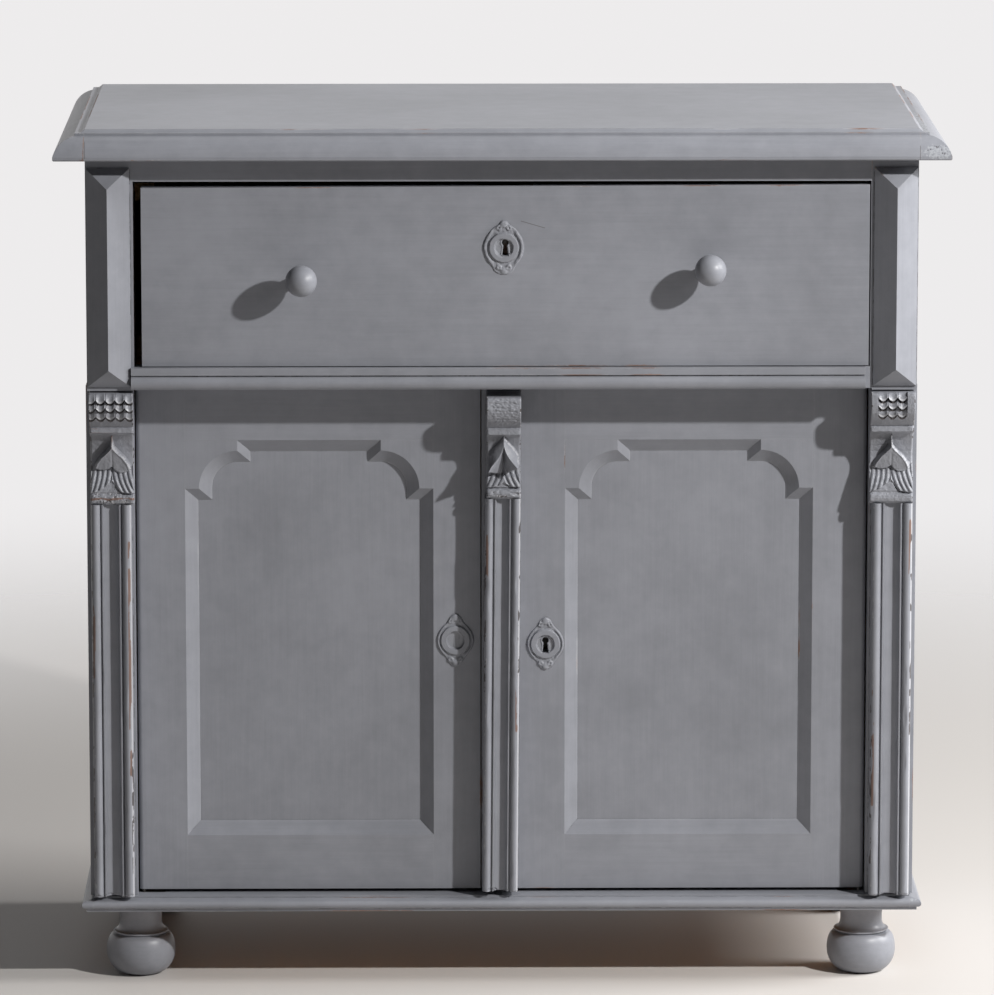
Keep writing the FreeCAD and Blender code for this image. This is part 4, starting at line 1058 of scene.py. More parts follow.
@dataclass
class FlutedStrip:
    """An upright strip with a bead on each edge and a broad flute between, knocked about by use."""

    name: str
    body: str
    node: str
    seed: int
    # Runs down an edge: its side, then from and to as shares of the height
    dark_runs: tuple[Triple, ...] = ()
    worn_runs: tuple[Triple, ...] = ()
    lean: float = 0.0
    # Shares of the width: the bead's breadth, and how deep the step, the fillet and the flute lie
    bead_share: ClassVar[float] = 0.235
    step_depth: ClassVar[float] = 0.14
    fillet_depth: ClassVar[float] = 0.07
    flute_depth: ClassVar[float] = 0.25
    # Millimetres: the groove beside the bead, and the fillet beside the flute
    groove: ClassVar[float] = 1.6
    fillet: ClassVar[float] = 1.4

    def build(self) -> None:
        """Runs the strip out and lets it stand for its node."""
        span = Span.of(self.node)
        self.middle_x = span.middle[0] + self.lean / 2
        self.width, self.reach, tall = span.size[0] - self.lean, span.size[1], span.size[2]
        self.back_y, self.bottom_z, self.top_z = span.high[1], span.low[2], span.high[2]
        half = self.width / 2
        bead_inner = half - self.width * self.bead_share
        outer = bead_inner - self.groove
        inner = outer - self.fillet
        steps = np.concatenate([
            np.linspace(0, inner, 26), [outer - 0.05, outer, bead_inner, bead_inner + 0.05],
            np.linspace(bead_inner + 0.3, half, 24)])
        across = np.unique(np.concatenate([-steps, steps]))
        zs = np.unique(np.concatenate([np.linspace(self.bottom_z, self.top_z, 229),
                                       np.linspace(self.bottom_z, self.bottom_z + 14, 36)]))
        self.bead_inner, self.outer, self.inner = bead_inner, outer, inner
        finish = Paint(Grain.UPRIGHT, wear=0.0, reach=1.2, marked=True)
        piece = Relief(self.middle_x + across, zs, self.back_y).build(
            self.name, self.reach_at, finish, self.marks_at,
            lambda z: -self.lean * (self.top_z - z) / tall)
        settle(piece, self.body, [self.node])

    def marks_at(self, x: np.ndarray, z: np.ndarray) -> dict[str, np.ndarray]:
        """Where a highlight is painted on the beads, and where they are worn to the wood or knocked
        pale or dark.
        """
        u, v = x - self.middle_x, (self.top_z - z) / (self.top_z - self.bottom_z)
        half = self.width / 2
        points = np.stack([x, z, z * 0 + self.seed], axis=-1)
        streaks = uneven(points, (1.5, 9.0, 1.0), self.seed + 7)
        dashes = eased(streaks + 0.5 * uneven(points, 1.6, self.seed + 8), 0.05, 0.4)
        patches = eased(uneven(points, (4.0, 26.0, 1.0), self.seed + 9) + 0.3 * dashes, -0.35, 0.1)
        # A painted highlight along the right edge, and chips knocked pale in dashes along the left
        # edge
        pale = bump_at(u, half - 0.9, 1.0) * 0.9 + 0.5 * bump_at(u, -half + 2.0, 1.6) * dashes
        found = {"pale": pale}
        # How far inside the edge a run lies, how far it reaches to each side, and what breaks it up
        for label, runs, inset, breadth, broken in (("worn", self.worn_runs, 2.8, 1.7, patches),
                                                    ("dark", self.dark_runs, 0.9, 1.3, dashes)):
            found[label] = np.zeros_like(u)
            for side, start, end in runs:
                here = eased(v, start, start + 0.02) * (1 - eased(v, end - 0.02, end))
                found[label] += bump_at(u * side, half - inset, breadth) * here * broken
        return found

    def reach_at(self, x: np.ndarray, z: np.ndarray) -> np.ndarray:
        """How far the strip stands out at each point."""
        u = x - self.middle_x
        side = np.abs(u)
        slab = self.reach - self.width * self.step_depth
        level = self.reach - self.width * self.fillet_depth
        low = self.reach - self.width * self.flute_depth
        half = self.width / 2
        middle = (half + self.bead_inner) / 2
        bead = slab + (self.reach - slab) * bump_at(side, middle, (half - self.bead_inner) / 2)
        flute = level - (level - low) * np.sqrt(np.clip(1 - (side / self.inner) ** 2, 0, 1)) ** 0.9
        out = np.where(side >= self.bead_inner, bead, np.where(
            side >= self.outer, slab, np.where(side >= self.inner, level, flute)))
        points = np.stack([x, z, z * 0 + self.seed], axis=-1)
        dents = np.clip(uneven(points, (6.0, 26.0, 1.0), self.seed) - 0.45, 0, None) * 1.6
        waves = 0.12 * uneven(points, (5.0, 30.0, 1.0), self.seed + 1)
        out = out - dents * (side > self.inner) + waves
        chip = 1.2 + 3.4 * np.clip(uneven(points, (5.0, 60.0, 1.0), self.seed + 2) + 0.25, 0, 1)
        foot = z - self.bottom_z
        broken = np.clip((chip - foot) / 1.5, 0, 1)
        return out - broken * (1.6 + 0.8 * uneven(points, 2.0, self.seed + 3))


# Turned wood, by geometry nodes

class TurningTree:
    """Geometry nodes that turn a line with radii into a round piece, a little uneven by hand."""

    def __init__(self) -> None:
        """Builds the shared tree."""
        self.tree = bpy.data.node_groups.new("turned_piece", "GeometryNodeTree")
        face = self.tree.interface
        face.new_socket("Geometry", in_out="INPUT", socket_type="NodeSocketGeometry")
        self.sides, self.waver, self.finish = (
            face.new_socket(label, in_out="INPUT", socket_type=kind).identifier
            for label, kind in (("Sides", "NodeSocketInt"), ("Waver", "NodeSocketFloat"),
                                ("Finish", "NodeSocketMaterial")))
        face.new_socket("Geometry", in_out="OUTPUT", socket_type="NodeSocketGeometry")
        nodes = NodeMaker(self.tree)
        given = nodes.node("NodeGroupInput")
        ring = nodes.node("GeometryNodeCurvePrimitiveCircle", {}, {
            "Resolution": given.outputs["Sides"], "Radius": 1.0})
        turned = nodes.node("GeometryNodeCurveToMesh", {}, {
            "Curve": given.outputs["Geometry"], "Profile Curve": ring.outputs["Curve"],
            "Scale": nodes.node("GeometryNodeInputRadius").outputs[0], "Fill Caps": True})
        place = nodes.node("GeometryNodeInputPosition")
        noise = nodes.value("ShaderNodeTexNoise", {}, {"Vector": place.outputs[0], "Scale": 60.0})
        push = nodes.node("ShaderNodeVectorMath", {"operation": "SCALE"}, {
            0: nodes.node("GeometryNodeInputNormal").outputs[0],
            "Scale": (noise - 0.5) * Value(nodes, given.outputs["Waver"])})
        moved = nodes.node("GeometryNodeSetPosition", {}, {"Geometry": turned.outputs[0],
                                                           "Offset": push.outputs[0]})
        real = nodes.node("GeometryNodeRealizeInstances", {}, {0: moved.outputs[0]})
        dressed = nodes.node("GeometryNodeSetMaterial", {}, {"Geometry": real.outputs[0],
                                                             "Material": given.outputs["Finish"]})
        nodes.node("NodeGroupOutput", {}, {0: dressed.outputs[0]})

    def turn(self, name: str, start: Triple, axis: Triple, profile: Sequence[Pair],
             finish: Finish, sides: int = 72, waver: float = 0.25) -> bpy.types.Object:
        """Turns one piece.

        Args:
            name: its name.
            start: where its axis starts.
            axis: which way it runs.
            profile: distance along the axis and radius, point by point.
            finish: its material.
            sides: flats round it.
            waver: how far its skin wavers.

        Returns:
            The finished object, a plain mesh at the origin.
        """
        line = bpy.data.curves.new(name + "_line", "CURVE")
        line.dimensions = "3D"
        spline = line.splines.new("POLY")
        spline.points.add(len(profile) - 1)
        for point, (along, radius) in zip(spline.points, profile):
            place = [(s + a * along) * MM for s, a in zip(start, axis)]
            point.co = (*place, 1.0)
            point.radius = max(radius, 0.02) * MM
        source = bpy.data.objects.new(name + "_source", line)
        bpy.context.scene.collection.objects.link(source)
        modifier = source.modifiers.new("turning", "NODES")
        modifier.node_group = self.tree
        modifier[self.sides] = sides
        modifier[self.waver] = waver * MM
        modifier[self.finish] = finish.material()
        mesh = plain_mesh(source, name)
        return dress_mesh(name, mesh, finish, 40.0)


class NailTree:
    """Geometry nodes that set a row of hammered nail heads, each of a slightly different size."""

    # A head's flats, its top's share of its width, and the least and the greatest scale of one
    flats: ClassVar[int] = 14
    top_share: ClassVar[float] = 0.62
    scales: ClassVar[tuple[Triple, Triple]] = ((0.82, 0.82, 0.6), (1.1, 1.18, 1.0))
    seed: ClassVar[int] = 5

    def __init__(self) -> None:
        """Builds the shared tree."""
        self.tree = bpy.data.node_groups.new("nail_row", "GeometryNodeTree")
        face = self.tree.interface
        face.new_socket("Geometry", in_out="INPUT", socket_type="NodeSocketGeometry")
        self.inputs = {
            label: face.new_socket(
                label, in_out="INPUT", socket_type="NodeSocket" + kind).identifier
            for label, kind in (("Count", "Int"), ("Radius", "Float"), ("Height", "Float"),
                                ("Step", "Vector"), ("Start", "Vector"), ("Turn", "Vector"),
                                ("Finish", "Material"))}
        face.new_socket("Geometry", in_out="OUTPUT", socket_type="NodeSocketGeometry")
        nodes = NodeMaker(self.tree)
        given = nodes.node("NodeGroupInput").outputs
        line = nodes.node("GeometryNodeMeshLine", {}, {
            "Count": given["Count"], "Start Location": given["Start"], "Offset": given["Step"]})
        head = nodes.node("GeometryNodeMeshCone", {"fill_type": "NGON"}, {
            "Vertices": self.flats, "Side Segments": 1, "Depth": given["Height"],
            "Radius Top": Value(nodes, given["Radius"]) * self.top_share,
            "Radius Bottom": given["Radius"]})
        sizes = nodes.node("FunctionNodeRandomValue", {"data_type": "FLOAT_VECTOR"}, {
            0: self.scales[0], 1: self.scales[1], "Seed": self.seed})
        placed = nodes.node("GeometryNodeInstanceOnPoints", {}, {
            "Points": line.outputs[0], "Instance": head.outputs[0], "Rotation": given["Turn"],
            "Scale": sizes.outputs[0]})
        real = nodes.node("GeometryNodeRealizeInstances", {}, {0: placed.outputs[0]})
        dressed = nodes.node("GeometryNodeSetMaterial", {}, {"Geometry": real.outputs[0],
                                                             "Material": given["Finish"]})
        nodes.node("NodeGroupOutput", {}, {0: dressed.outputs[0]})

    def row(self, name: str, start: Triple, step: Triple, count: int, turn: Triple, finish: Finish,
            radius: float = 3.2, height: float = 1.4) -> bpy.types.Object:
        """Sets one row of nails.

        Args:
            name: the piece's name.
            start: the first nail's place.
            step: from one nail to the next.
            count: how many.
            turn: how the heads are turned, in radians.
            finish: their material.
            radius, height: size of a head.

        Returns:
            The finished object, a plain mesh at the origin.
        """
        source = bpy.data.objects.new(name + "_source", bpy.data.meshes.new(name + "_source"))
        bpy.context.scene.collection.objects.link(source)
        modifier = source.modifiers.new("nails", "NODES")
        modifier.node_group = self.tree
        values = {"Count": count, "Radius": radius * MM, "Height": height * MM, "Turn": turn,
                  "Step": [part * MM for part in step], "Start": [part * MM for part in start],
                  "Finish": finish.material()}
        for label, value in values.items():
            modifier[self.inputs[label]] = value
        return dress_mesh(name, plain_mesh(source, name), finish, 40.0)


def plain_mesh(source: bpy.types.Object, name: str) -> bpy.types.Mesh:
    """The evaluated mesh of an object with geometry nodes, which is then removed."""
    bpy.context.view_layer.update()
    evaluated = source.evaluated_get(bpy.context.evaluated_depsgraph_get())
    mesh = bpy.data.meshes.new_from_object(evaluated)
    mesh.name = name
    source.modifiers.clear()
    bpy.data.objects.remove(source)
    return mesh


def arc(start: Pair, end: Pair, bulge: float, count: int) -> list[Pair]:
    """Points of a shallow curve between two, without its start.

    Args:
        start, end: its ends.
        bulge: how far its middle stands off the straight line, to the left of its run.
        count: how many points.

    Returns:
        The points.
    """
    run, rise = end[0] - start[0], end[1] - start[1]
    length = math.hypot(run, rise)
    found = []
    for index in range(1, count + 1):
        share = index / count
        off = bulge * 4 * share * (1 - share)
        found.append((start[0] + run * share - rise / length * off,
                      start[1] + rise * share + run / length * off))
    return found


def quarter(start: Pair, end: Pair, count: int, steep_first: bool) -> list[Pair]:
    """Points of a quarter of an ellipse between two, without its start.

    Args:
        start, end: distance along the axis and radius.
        count: how many points.
        steep_first: whether the radius changes fast at the start.

    Returns:
        The points.
    """
    found = []
    for index in range(1, count + 1):
        turn = index / count * math.pi / 2
        if steep_first:
            along, out = 1 - math.cos(turn), math.sin(turn)
        else:
            along, out = math.sin(turn), 1 - math.cos(turn)
        found.append((start[0] + (end[0] - start[0]) * along, start[1] + (end[1] - start[1]) * out))
    return found


# Keyhole plates

# A keyhole: its round head's radius, how far its foot lies below the head's middle, and the half
# widths at its neck and foot
HOLE_HEAD = 3.7
HOLE_DROP = 14.5
HOLE_NECK = 2.1
HOLE_FOOT = 3.4
# How far below the head's middle the rays start
HOLE_CENTRE = 4.4


@dataclass
class KeyholePlate:
    """A cast plate painted over: a dish in a ring, a beaded rim, a crest above and below."""

    name: str
    body: str
    x: float
    z: float
    face_y: float
    seed: int
    # Angle from straight up, and distance from the middle
    outline: tuple[Pair, ...]
    keyhole: Pair | None
    thickness: float
    # Radii: the round ring, the dish inside it, and the groove's outer edge
    ring: float = 13.2
    dish: float = 10.9
    rim: float = 20.4
    # How high the ground, the edge's bead and the ring stand, and how deep the dish and groove are
    ground_height: ClassVar[float] = 1.2
    bead_height: ClassVar[float] = 1.3
    ring_height: ClassVar[float] = 3.4
    dish_depth: ClassVar[float] = 1.0
    groove_depth: ClassVar[float] = 1.1
    # The crests: which side, and how far up or down the boss lies; then its radius and height, and
    # where the scrolls lie and how high they stand
    crests: ClassVar[tuple[Pair, ...]] = ((1, 26.4), (-1, -26.0))
    boss_half: ClassVar[float] = 4.2
    boss_height: ClassVar[float] = 2.0
    scroll_place: ClassVar[Pair] = (5.6, 22.6)
    scroll_height: ClassVar[float] = 1.4
    # What is left of a keyhole that is painted over: its dents, then how far to the right its slot
    # and the worn lip lie, and how far down and up the slot runs
    dents: ClassVar[tuple[Pair, ...]] = ((-1.7, 6.0), (2.4, 6.0))
    slot_x: ClassVar[float] = 1.6
    lip_x: ClassVar[float] = 1.4
    slot_run: ClassVar[Pair] = (-6.5, 3.5)
    # How many rays and rows the mesh has
    around: ClassVar[int] = 160
    rows: ClassVar[int] = 46

    def edge(self, angle: np.ndarray) -> np.ndarray:
        """The outline's distance from the middle at an angle from straight up, on either side."""
        turned = np.abs((np.degrees(angle) + 180) % 360 - 180)
        return np.interp(turned, *zip(*self.outline))

    def height(self, x: np.ndarray, z: np.ndarray) -> np.ndarray:
        """How far the plate stands off the wood at each point."""
        across, up = x - self.x, z - self.z
        out = np.hypot(across, up)
        angle = np.arctan2(across, up)
        edge = self.edge(angle)
        points = np.stack([x, z, z * 0 + self.seed], axis=-1)
        beside = eased(np.abs(np.sin(angle)), 0.45, 0.7)
        depth = self.ground_height + self.bead_height * bump_at(edge - out, 2.2, 1.9) * beside
        depth = depth + self.ring_height * bump_at(out, self.ring, 4.0)
        depth = depth - self.dish_depth * (out < self.dish)
        groove = (self.ring + self.rim) / 2 + 1.4
        depth = depth - self.groove_depth * bump_at(out, groove, 1.3) * beside
        for side, lift in self.crests:
            boss = np.hypot(across, up - lift)
            depth = depth + self.boss_height * bump_at(boss, 0, self.boss_half) * (up * side > 0)
            for hand in (-1, 1):
                scroll = np.hypot(across - hand * self.scroll_place[0],
                                  up - side * self.scroll_place[1])
                depth = depth + self.scroll_height * bump_at(scroll, 1.9, 1.5)
        depth = depth + self.middle(x, z)
        depth = depth + 0.4 * uneven(points, 2.6, self.seed)
        depth = depth + 0.15 * uneven(points, 1.0, self.seed + 1)
        return np.clip(depth, 0.4, self.thickness) * eased(edge - out, -0.4, 1.1)

    def middle(self, x: np.ndarray, z: np.ndarray) -> np.ndarray:
        """What stands on or is sunk into the dish."""
        if self.keyhole is None:
            across, up = x - self.x, z - self.z
            dots = sum(-0.9 * bump_at(np.hypot(across - dx, up - dz), 0, 1.3)
                       for dx, dz in self.dents)
            slot_low, slot_high = self.slot_run
            half_slot = np.clip(0.5 - (up + 1) * 0.09, 0.3, 1.4)
            inside = (np.abs(across - self.slot_x) < half_slot) * (up < slot_high) * (up > slot_low)
            slot = -1.0 * inside
            lip = 0.5 * bump_at(np.abs(across - self.lip_x), 2.6, 0.8) * (np.abs(up + 1) < 6.5)
            return dots + slot + lip
        kx, kz = self.keyhole
        head = np.hypot(x - kx, z - kz) - HOLE_HEAD
        half_foot = np.interp(kz - z, (0, HOLE_DROP), (HOLE_NECK, HOLE_FOOT))
        foot = np.maximum(np.abs(x - kx) - half_foot, (kz - z) - HOLE_DROP)
        foot = np.where(z > kz, 99.0, foot)
        return 0.9 * bump_at(np.minimum(head, foot), 1.0, 1.2)

    def build(self, nodes: Sequence[str]) -> None:
        """Makes the plate and lets it stand for its node."""
        around, rows = self.around, self.rows
        angles = np.linspace(0, 2 * np.pi, around, endpoint=False)
        way = np.stack([np.sin(angles), np.cos(angles)], axis=-1)
        if self.keyhole is None:
            centre = np.array([self.x, self.z])
            inner = np.full(around, 0.3)
        else:
            kx, kz = self.keyhole
            centre = np.array([kx, kz - HOLE_CENTRE])
            inner = ray_reach(centre, way, keyhole_points(kx, kz))
        turn = np.linspace(0, 2 * np.pi, 240, endpoint=False)
        far = self.edge(turn)
        rim = np.stack([self.x + far * np.sin(turn), self.z + far * np.cos(turn)], axis=-1)
        outer = ray_reach(centre, way, rim)
        share = np.linspace(0, 1, rows)
        distance = inner[:, None] + (outer - inner)[:, None] * share[None, :]
        x = centre[0] + way[:, :1] * distance
        z = centre[1] + way[:, 1:] * distance
        y = self.face_y - self.height(x, z)
        front = np.stack([x, y, z], axis=-1).reshape(-1, 3)
        rays = front.reshape(around, rows, 3)
        back = np.concatenate([rays[:, 0], rays[:, -1]])
        back[:, 1] = self.face_y
        number = np.arange(around * rows).reshape(around, rows)
        after = np.roll(number, -1, axis=0)
        quads = np.stack([number[:, :-1], number[:, 1:], after[:, 1:], after[:, :-1]], axis=-1)
        faces = quads.reshape(-1, 4).tolist()
        near = np.arange(around) + around * rows
        wide = near + around
        near_next, wide_next = np.roll(near, -1), np.roll(wide, -1)
        faces += np.stack([number[:, -1], wide, wide_next, after[:, -1]], axis=-1).tolist()
        faces += np.stack([near, number[:, 0], after[:, 0], near_next], axis=-1).tolist()
        faces += np.stack([wide, near, near_next, wide_next], axis=-1).tolist()
        if self.keyhole is None:
            faces.append(number[::-1, 0].tolist())
            hub = set(near.tolist())
            faces = [face for face in faces if not (set(face) & hub and len(face) == 4)]
            faces.append(wide.tolist())
        finish = Paint(Grain.UPRIGHT, wear=0.25, reach=0.7, over_iron=True)
        piece = make_piece(self.name, np.vstack([front, back]), faces, finish, 50.0)
        settle(piece, self.body, nodes)


def keyhole_points(x: float, z: float) -> np.ndarray:
    """The outline of a keyhole, its round head's middle at x and z."""
    head = [(x + HOLE_HEAD * math.sin(turn), z + HOLE_HEAD * math.cos(turn))
            for turn in np.linspace(-2.55, 2.55, 40)]
    return np.array(head + [(x + HOLE_FOOT, z - HOLE_DROP), (x - HOLE_FOOT, z - HOLE_DROP)])


def ray_reach(centre: np.ndarray, way: np.ndarray, outline: np.ndarray) -> np.ndarray:
    """How far it is from a centre to a closed outline, in each direction.

    Args:
        centre: the point inside.
        way: one unit direction a row.
        outline: the outline's points in order.

    Returns:
        The distance along each direction.
    """
    start = outline - centre
    step = np.roll(start, -1, axis=0) - start
    cross = way[:, None, 0] * step[None, :, 1] - way[:, None, 1] * step[None, :, 0]
    cross = np.where(np.abs(cross) < 1e-9, 1e-9, cross)
    along = (start[None, :, 0] * step[None, :, 1] - start[None, :, 1] * step[None, :, 0]) / cross
    share = (start[None, :, 0] * way[:, None, 1] - start[None, :, 1] * way[:, None, 0]) / cross
    good = (share >= -1e-6) & (share <= 1 + 1e-6) & (along > 0)
    return np.where(good, along, np.inf).min(axis=1)


# The whole cupboard

LEFT, RIGHT = (-1.0, 0.0, 0.0), (1.0, 0.0, 0.0)
REAR = (0.0, 1.0, 0.0)
UNDER, UPPER = (0.0, 0.0, -1.0), (0.0, 0.0, 1.0)
BACK_FACE = Bare(REAR)


@dataclass
class Carcase:
    """The case: its boards, mouldings, ornament and feet."""

    finishes: ClassVar[dict[str, Finish]] = {
        "top_board": Paint(Grain.ACROSS, wear=0.2, bare=(BACK_FACE, Bare(UNDER, past=-200.0))),
        "top_moulding_front": Paint(Grain.ACROSS, wear=0.55, scratches=(
            Scratch((-468.6, 966.0), (-469.3, 984.0)), Scratch((468.8, 963.5), (469.4, 979.0)))),
        "top_moulding_sides": Paint(Grain.DEEP, wear=0.75, scuffs=(
            Scuff((490.0, -234.0, 972.0), (24.0, 12.0, 12.0)),
            Scuff((480.0, -120.0, 992.0), (9.0, 150.0, 7.0)))),
        "side_left": Paint(Grain.UPRIGHT, wear=0.25, bare=(Bare(RIGHT), BACK_FACE)),
        "side_right": Paint(Grain.UPRIGHT, wear=0.25, bare=(Bare(LEFT), BACK_FACE)),
        "back_boards": Pine(Grain.UPRIGHT, 0.75),
        "frieze_rail": Paint(Grain.ACROSS, wear=0.2, bare=(BACK_FACE,)),
        "mid_rail": Paint(Grain.ACROSS, wear=0.3, bare=(BACK_FACE, Bare(UPPER, past=-175.0))),
        "mid_moulding": Paint(Grain.ACROSS, wear=0.55, seams=True),
        "upper_post_left": Paint(Grain.UPRIGHT, wear=0.45, seams=True, bare=(BACK_FACE,)),
        "upper_post_right": Paint(Grain.UPRIGHT, wear=0.45, seams=True, bare=(BACK_FACE,)),
        "faceted_block_left": Paint(Grain.UPRIGHT, wear=0.5, seams=True),
        "faceted_block_right": Paint(Grain.UPRIGHT, wear=0.5, seams=True),
        "lower_stile_left": Paint(Grain.UPRIGHT, wear=0.5, seams=True, bare=(BACK_FACE,)),
        "lower_stile_right": Paint(Grain.UPRIGHT, wear=0.5, seams=True, bare=(BACK_FACE,)),
        "dust_board": Pine(Grain.ACROSS, 0.5),
        "drawer_runners": Pine(Grain.DEEP, 0.4),
        "drawer_kickers": Pine(Grain.DEEP, 0.45),
        "shelf": Pine(Grain.ACROSS, 0.35),
        "shelf_cleats": Pine(Grain.DEEP, 0.4),
        "bottom_board": Paint(Grain.ACROSS, wear=0.35, bare=(
            Bare(UPPER, past=-125.0), Bare(UNDER), BACK_FACE)),
        "base_moulding_front": Paint(Grain.ACROSS, wear=0.55, seams=True),
        "base_moulding_sides": Paint(Grain.DEEP, wear=0.55, scuffs=(
            Scuff((474.0, -178.0, 101.0), (13.0, 9.0, 7.0)),
            Scuff((-477.0, -178.0, 101.0), (8.0, 7.0, 5.0)))),
        "door_pivots": Iron(),
    }
    pilaster_traits: ClassVar[dict[str, dict[str, Any]]] = {
        "left": {"seed": 39, "dark_runs": ((-1, 0.04, 0.97), (1, 0.62, 0.95)),
                 "worn_runs": ((1, 0.08, 0.7), (-1, 0.2, 0.45))},
        "right": {"seed": 41, "dark_runs": ((-1, 0.5, 0.95), (1, 0.05, 0.6)),
                  "worn_runs": ((-1, 0.46, 0.78), (1, 0.03, 0.2))},
    }
    # What sets the two corner brackets apart
    console_traits: ClassVar[dict[str, dict[str, Any]]] = {
        "left": {"seed": 19, "side_scales": True, "band_roughness": 0.5, "battered": 0.75,
                 "rims": (0.0, 0.088, 0.158, 0.236), "wear": 0.4},
        "right": {"seed": 21, "side_scales": False, "band_roughness": 0.16, "battered": 0.35,
                  "rims": (0.0, 0.077, 0.148, 0.225), "wear": 0.3},
    }
    # Height and radius, from the floor up
    foot_profile: ClassVar[list[Pair]] = [
        (0.15, 17.0), (0.5, 19.0),
        *quarter((0.5, 19.0), (27.0, 39.8), 18, True),
        *quarter((27.0, 39.8), (46.8, 31.6), 14, False),
        (47.4, 30.6), (47.9, 29.4), (48.5, 29.3), (48.9, 31.0), (49.8, 31.8), (50.8, 31.4),
        (51.2, 30.6),
        *quarter((51.2, 30.6), (62.0, 24.2), 9, True), (68.0, 24.2), (78.0, 25.0), (85.4, 26.0),
    ]
    nail_count: ClassVar[int] = 8
    # The top and low rows lie this far inside the boards' ends, the middle one at a share of them
    nail_top: ClassVar[float] = 14
    nail_low: ClassVar[float] = 12
    nail_middle_share: ClassVar[float] = 0.68

    def build(self, turning: TurningTree, nails: NailTree) -> None:
        """Dresses the case."""
        for node, finish in self.finishes.items():
            dress_node(node, finish)
        self.nail_back(nails)
        for side in ("left", "right"):
            CornerConsole(name=f"carved_console_{side}", body="case", node=f"console_{side}",
                          **self.console_traits[side]).build()
            FlutedStrip(name=f"fluted_pilaster_{side}", body="case", node=f"pilaster_{side}",
                        **self.pilaster_traits[side]).build()
            self.set_feet(side, turning)

    def nail_back(self, nails: NailTree) -> None:
        """Nails the back boards to the top, the shelf and the bottom."""
        back = Span.of("back_boards")
        pitch = back.size[0] / self.nail_count
        for label, z in (("top", back.high[2] - self.nail_top),
                         ("middle", back.low[2] + back.size[2] * self.nail_middle_share),
                         ("low", back.low[2] + self.nail_low)):
            row = nails.row(f"nail_row_{label}", (back.low[0] + pitch / 2, back.high[1], z),
                            (pitch, 0.0, 0.0), self.nail_count, (-math.pi / 2, 0.0, 0.0), Iron(0.6))
            settle(row, "case")

    def set_feet(self, side: str, turning: TurningTree) -> None:
        """Turns the front and the rear foot of one side."""
        front, rear = Span.of(f"foot_front_{side}"), Span.of("feet_rear")
        hand = -1 if side == "left" else 1
        rear_x = hand * (rear.high[0] - front.size[0] / 2)
        for name, x, y, node in (
                (f"turned_foot_{side}", front.middle[0], front.middle[1], f"foot_front_{side}"),
                (f"turned_foot_rear_{side}", rear_x, rear.middle[1], "feet_rear")):
            foot = turning.turn(name, (x, y, 0.0), (0, 0, 1), self.foot_profile,
                                Paint(Grain.ACROSS, wear=0.3))
            settle(foot, "case", [node])


@dataclass
class Drawer:
    """The wide drawer with its two knobs, its plate and its lock."""

    finishes: ClassVar[dict[str, Finish]] = {
        "drawer_front": Paint(Grain.ACROSS, wear=0.5,
                              bare=(BACK_FACE, Bare(LEFT, past=-194.0), Bare(RIGHT, past=-194.0)),
                              scratches=(Scratch((21.2, 890.0), (48.4, 882.0)),)),
        "drawer_side_left": Pine(Grain.DEEP, 0.3),
        "drawer_side_right": Pine(Grain.DEEP, 0.3),
        "drawer_back": Pine(Grain.ACROSS, 0.35),
        "drawer_bottom": Pine(Grain.ACROSS, 0.3),
        "drawer_lock_case": Iron(0.45),
        "drawer_lock_bolt": Iron(0.3),
    }
    # The knob's shank, collar and neck: distance from the drawer's face and radius
    knob_profile: ClassVar[list[Pair]] = [
        (-17.0, 6.0), (-0.2, 6.0), (0.0, 11.0), (1.2, 11.0), (2.0, 9.4),
        *arc((2.0, 9.4), (13.5, 7.0), -1.2, 6), (18.2, 7.4), (19.6, 8.7),
    ]
    # Its ball: how far out the middle stands, the radius, and the angle at which the neck meets it
    ball_middle: ClassVar[float] = 35.2
    ball_radius: ClassVar[float] = 17.8
    ball_start: ClassVar[float] = 0.53
    # How far the keyhole's round head lies to the right of the plate's middle and above it
    keyhole_shift: ClassVar[Pair] = (1.6, 5.5)
    plate_outline: ClassVar[tuple[Pair, ...]] = (
        (0, 31.4), (6, 30.6), (11, 28.0), (15, 26.6), (22, 26.2), (35, 24.8), (50, 23.6),
        (70, 23.1), (100, 23.0), (125, 23.3), (145, 24.4), (152, 26.4), (158, 28.9), (168, 30.6),
        (180, 31.2),
    )

    def build(self, turning: TurningTree) -> None:
        """Dresses the drawer."""
        for node, finish in self.finishes.items():
            dress_node(node, finish)
        front, knobs, plate = (Span.of(f"drawer_{part}")
                               for part in ("front", "knobs", "escutcheon"))
        radius = self.ball_radius
        ball = [(self.ball_middle - radius * math.cos(turn), radius * math.sin(turn))
                for turn in np.linspace(self.ball_start, math.pi, 30)]
        places = (("left", knobs.low[0] + radius, knobs.low[2] + radius),
                  ("right", knobs.high[0] - radius, knobs.high[2] - radius))
        for side, x, z in places:
            knob = turning.turn(f"turned_knob_{side}", (x, front.low[1], z), (0, -1, 0),
                                self.knob_profile + ball, Paint(Grain.ACROSS, wear=0.2), 56, 0.2)
            settle(knob, "drawer", ["drawer_knobs"])
        x, z = plate.middle[0], plate.middle[2]
        right, up = self.keyhole_shift
        KeyholePlate(name="cast_plate_drawer", body="drawer", x=x, z=z, face_y=front.low[1],
                     seed=60, outline=self.plate_outline, keyhole=(x + right, z + up),
                     thickness=front.low[1] - plate.low[1]).build(["drawer_escutcheon"])


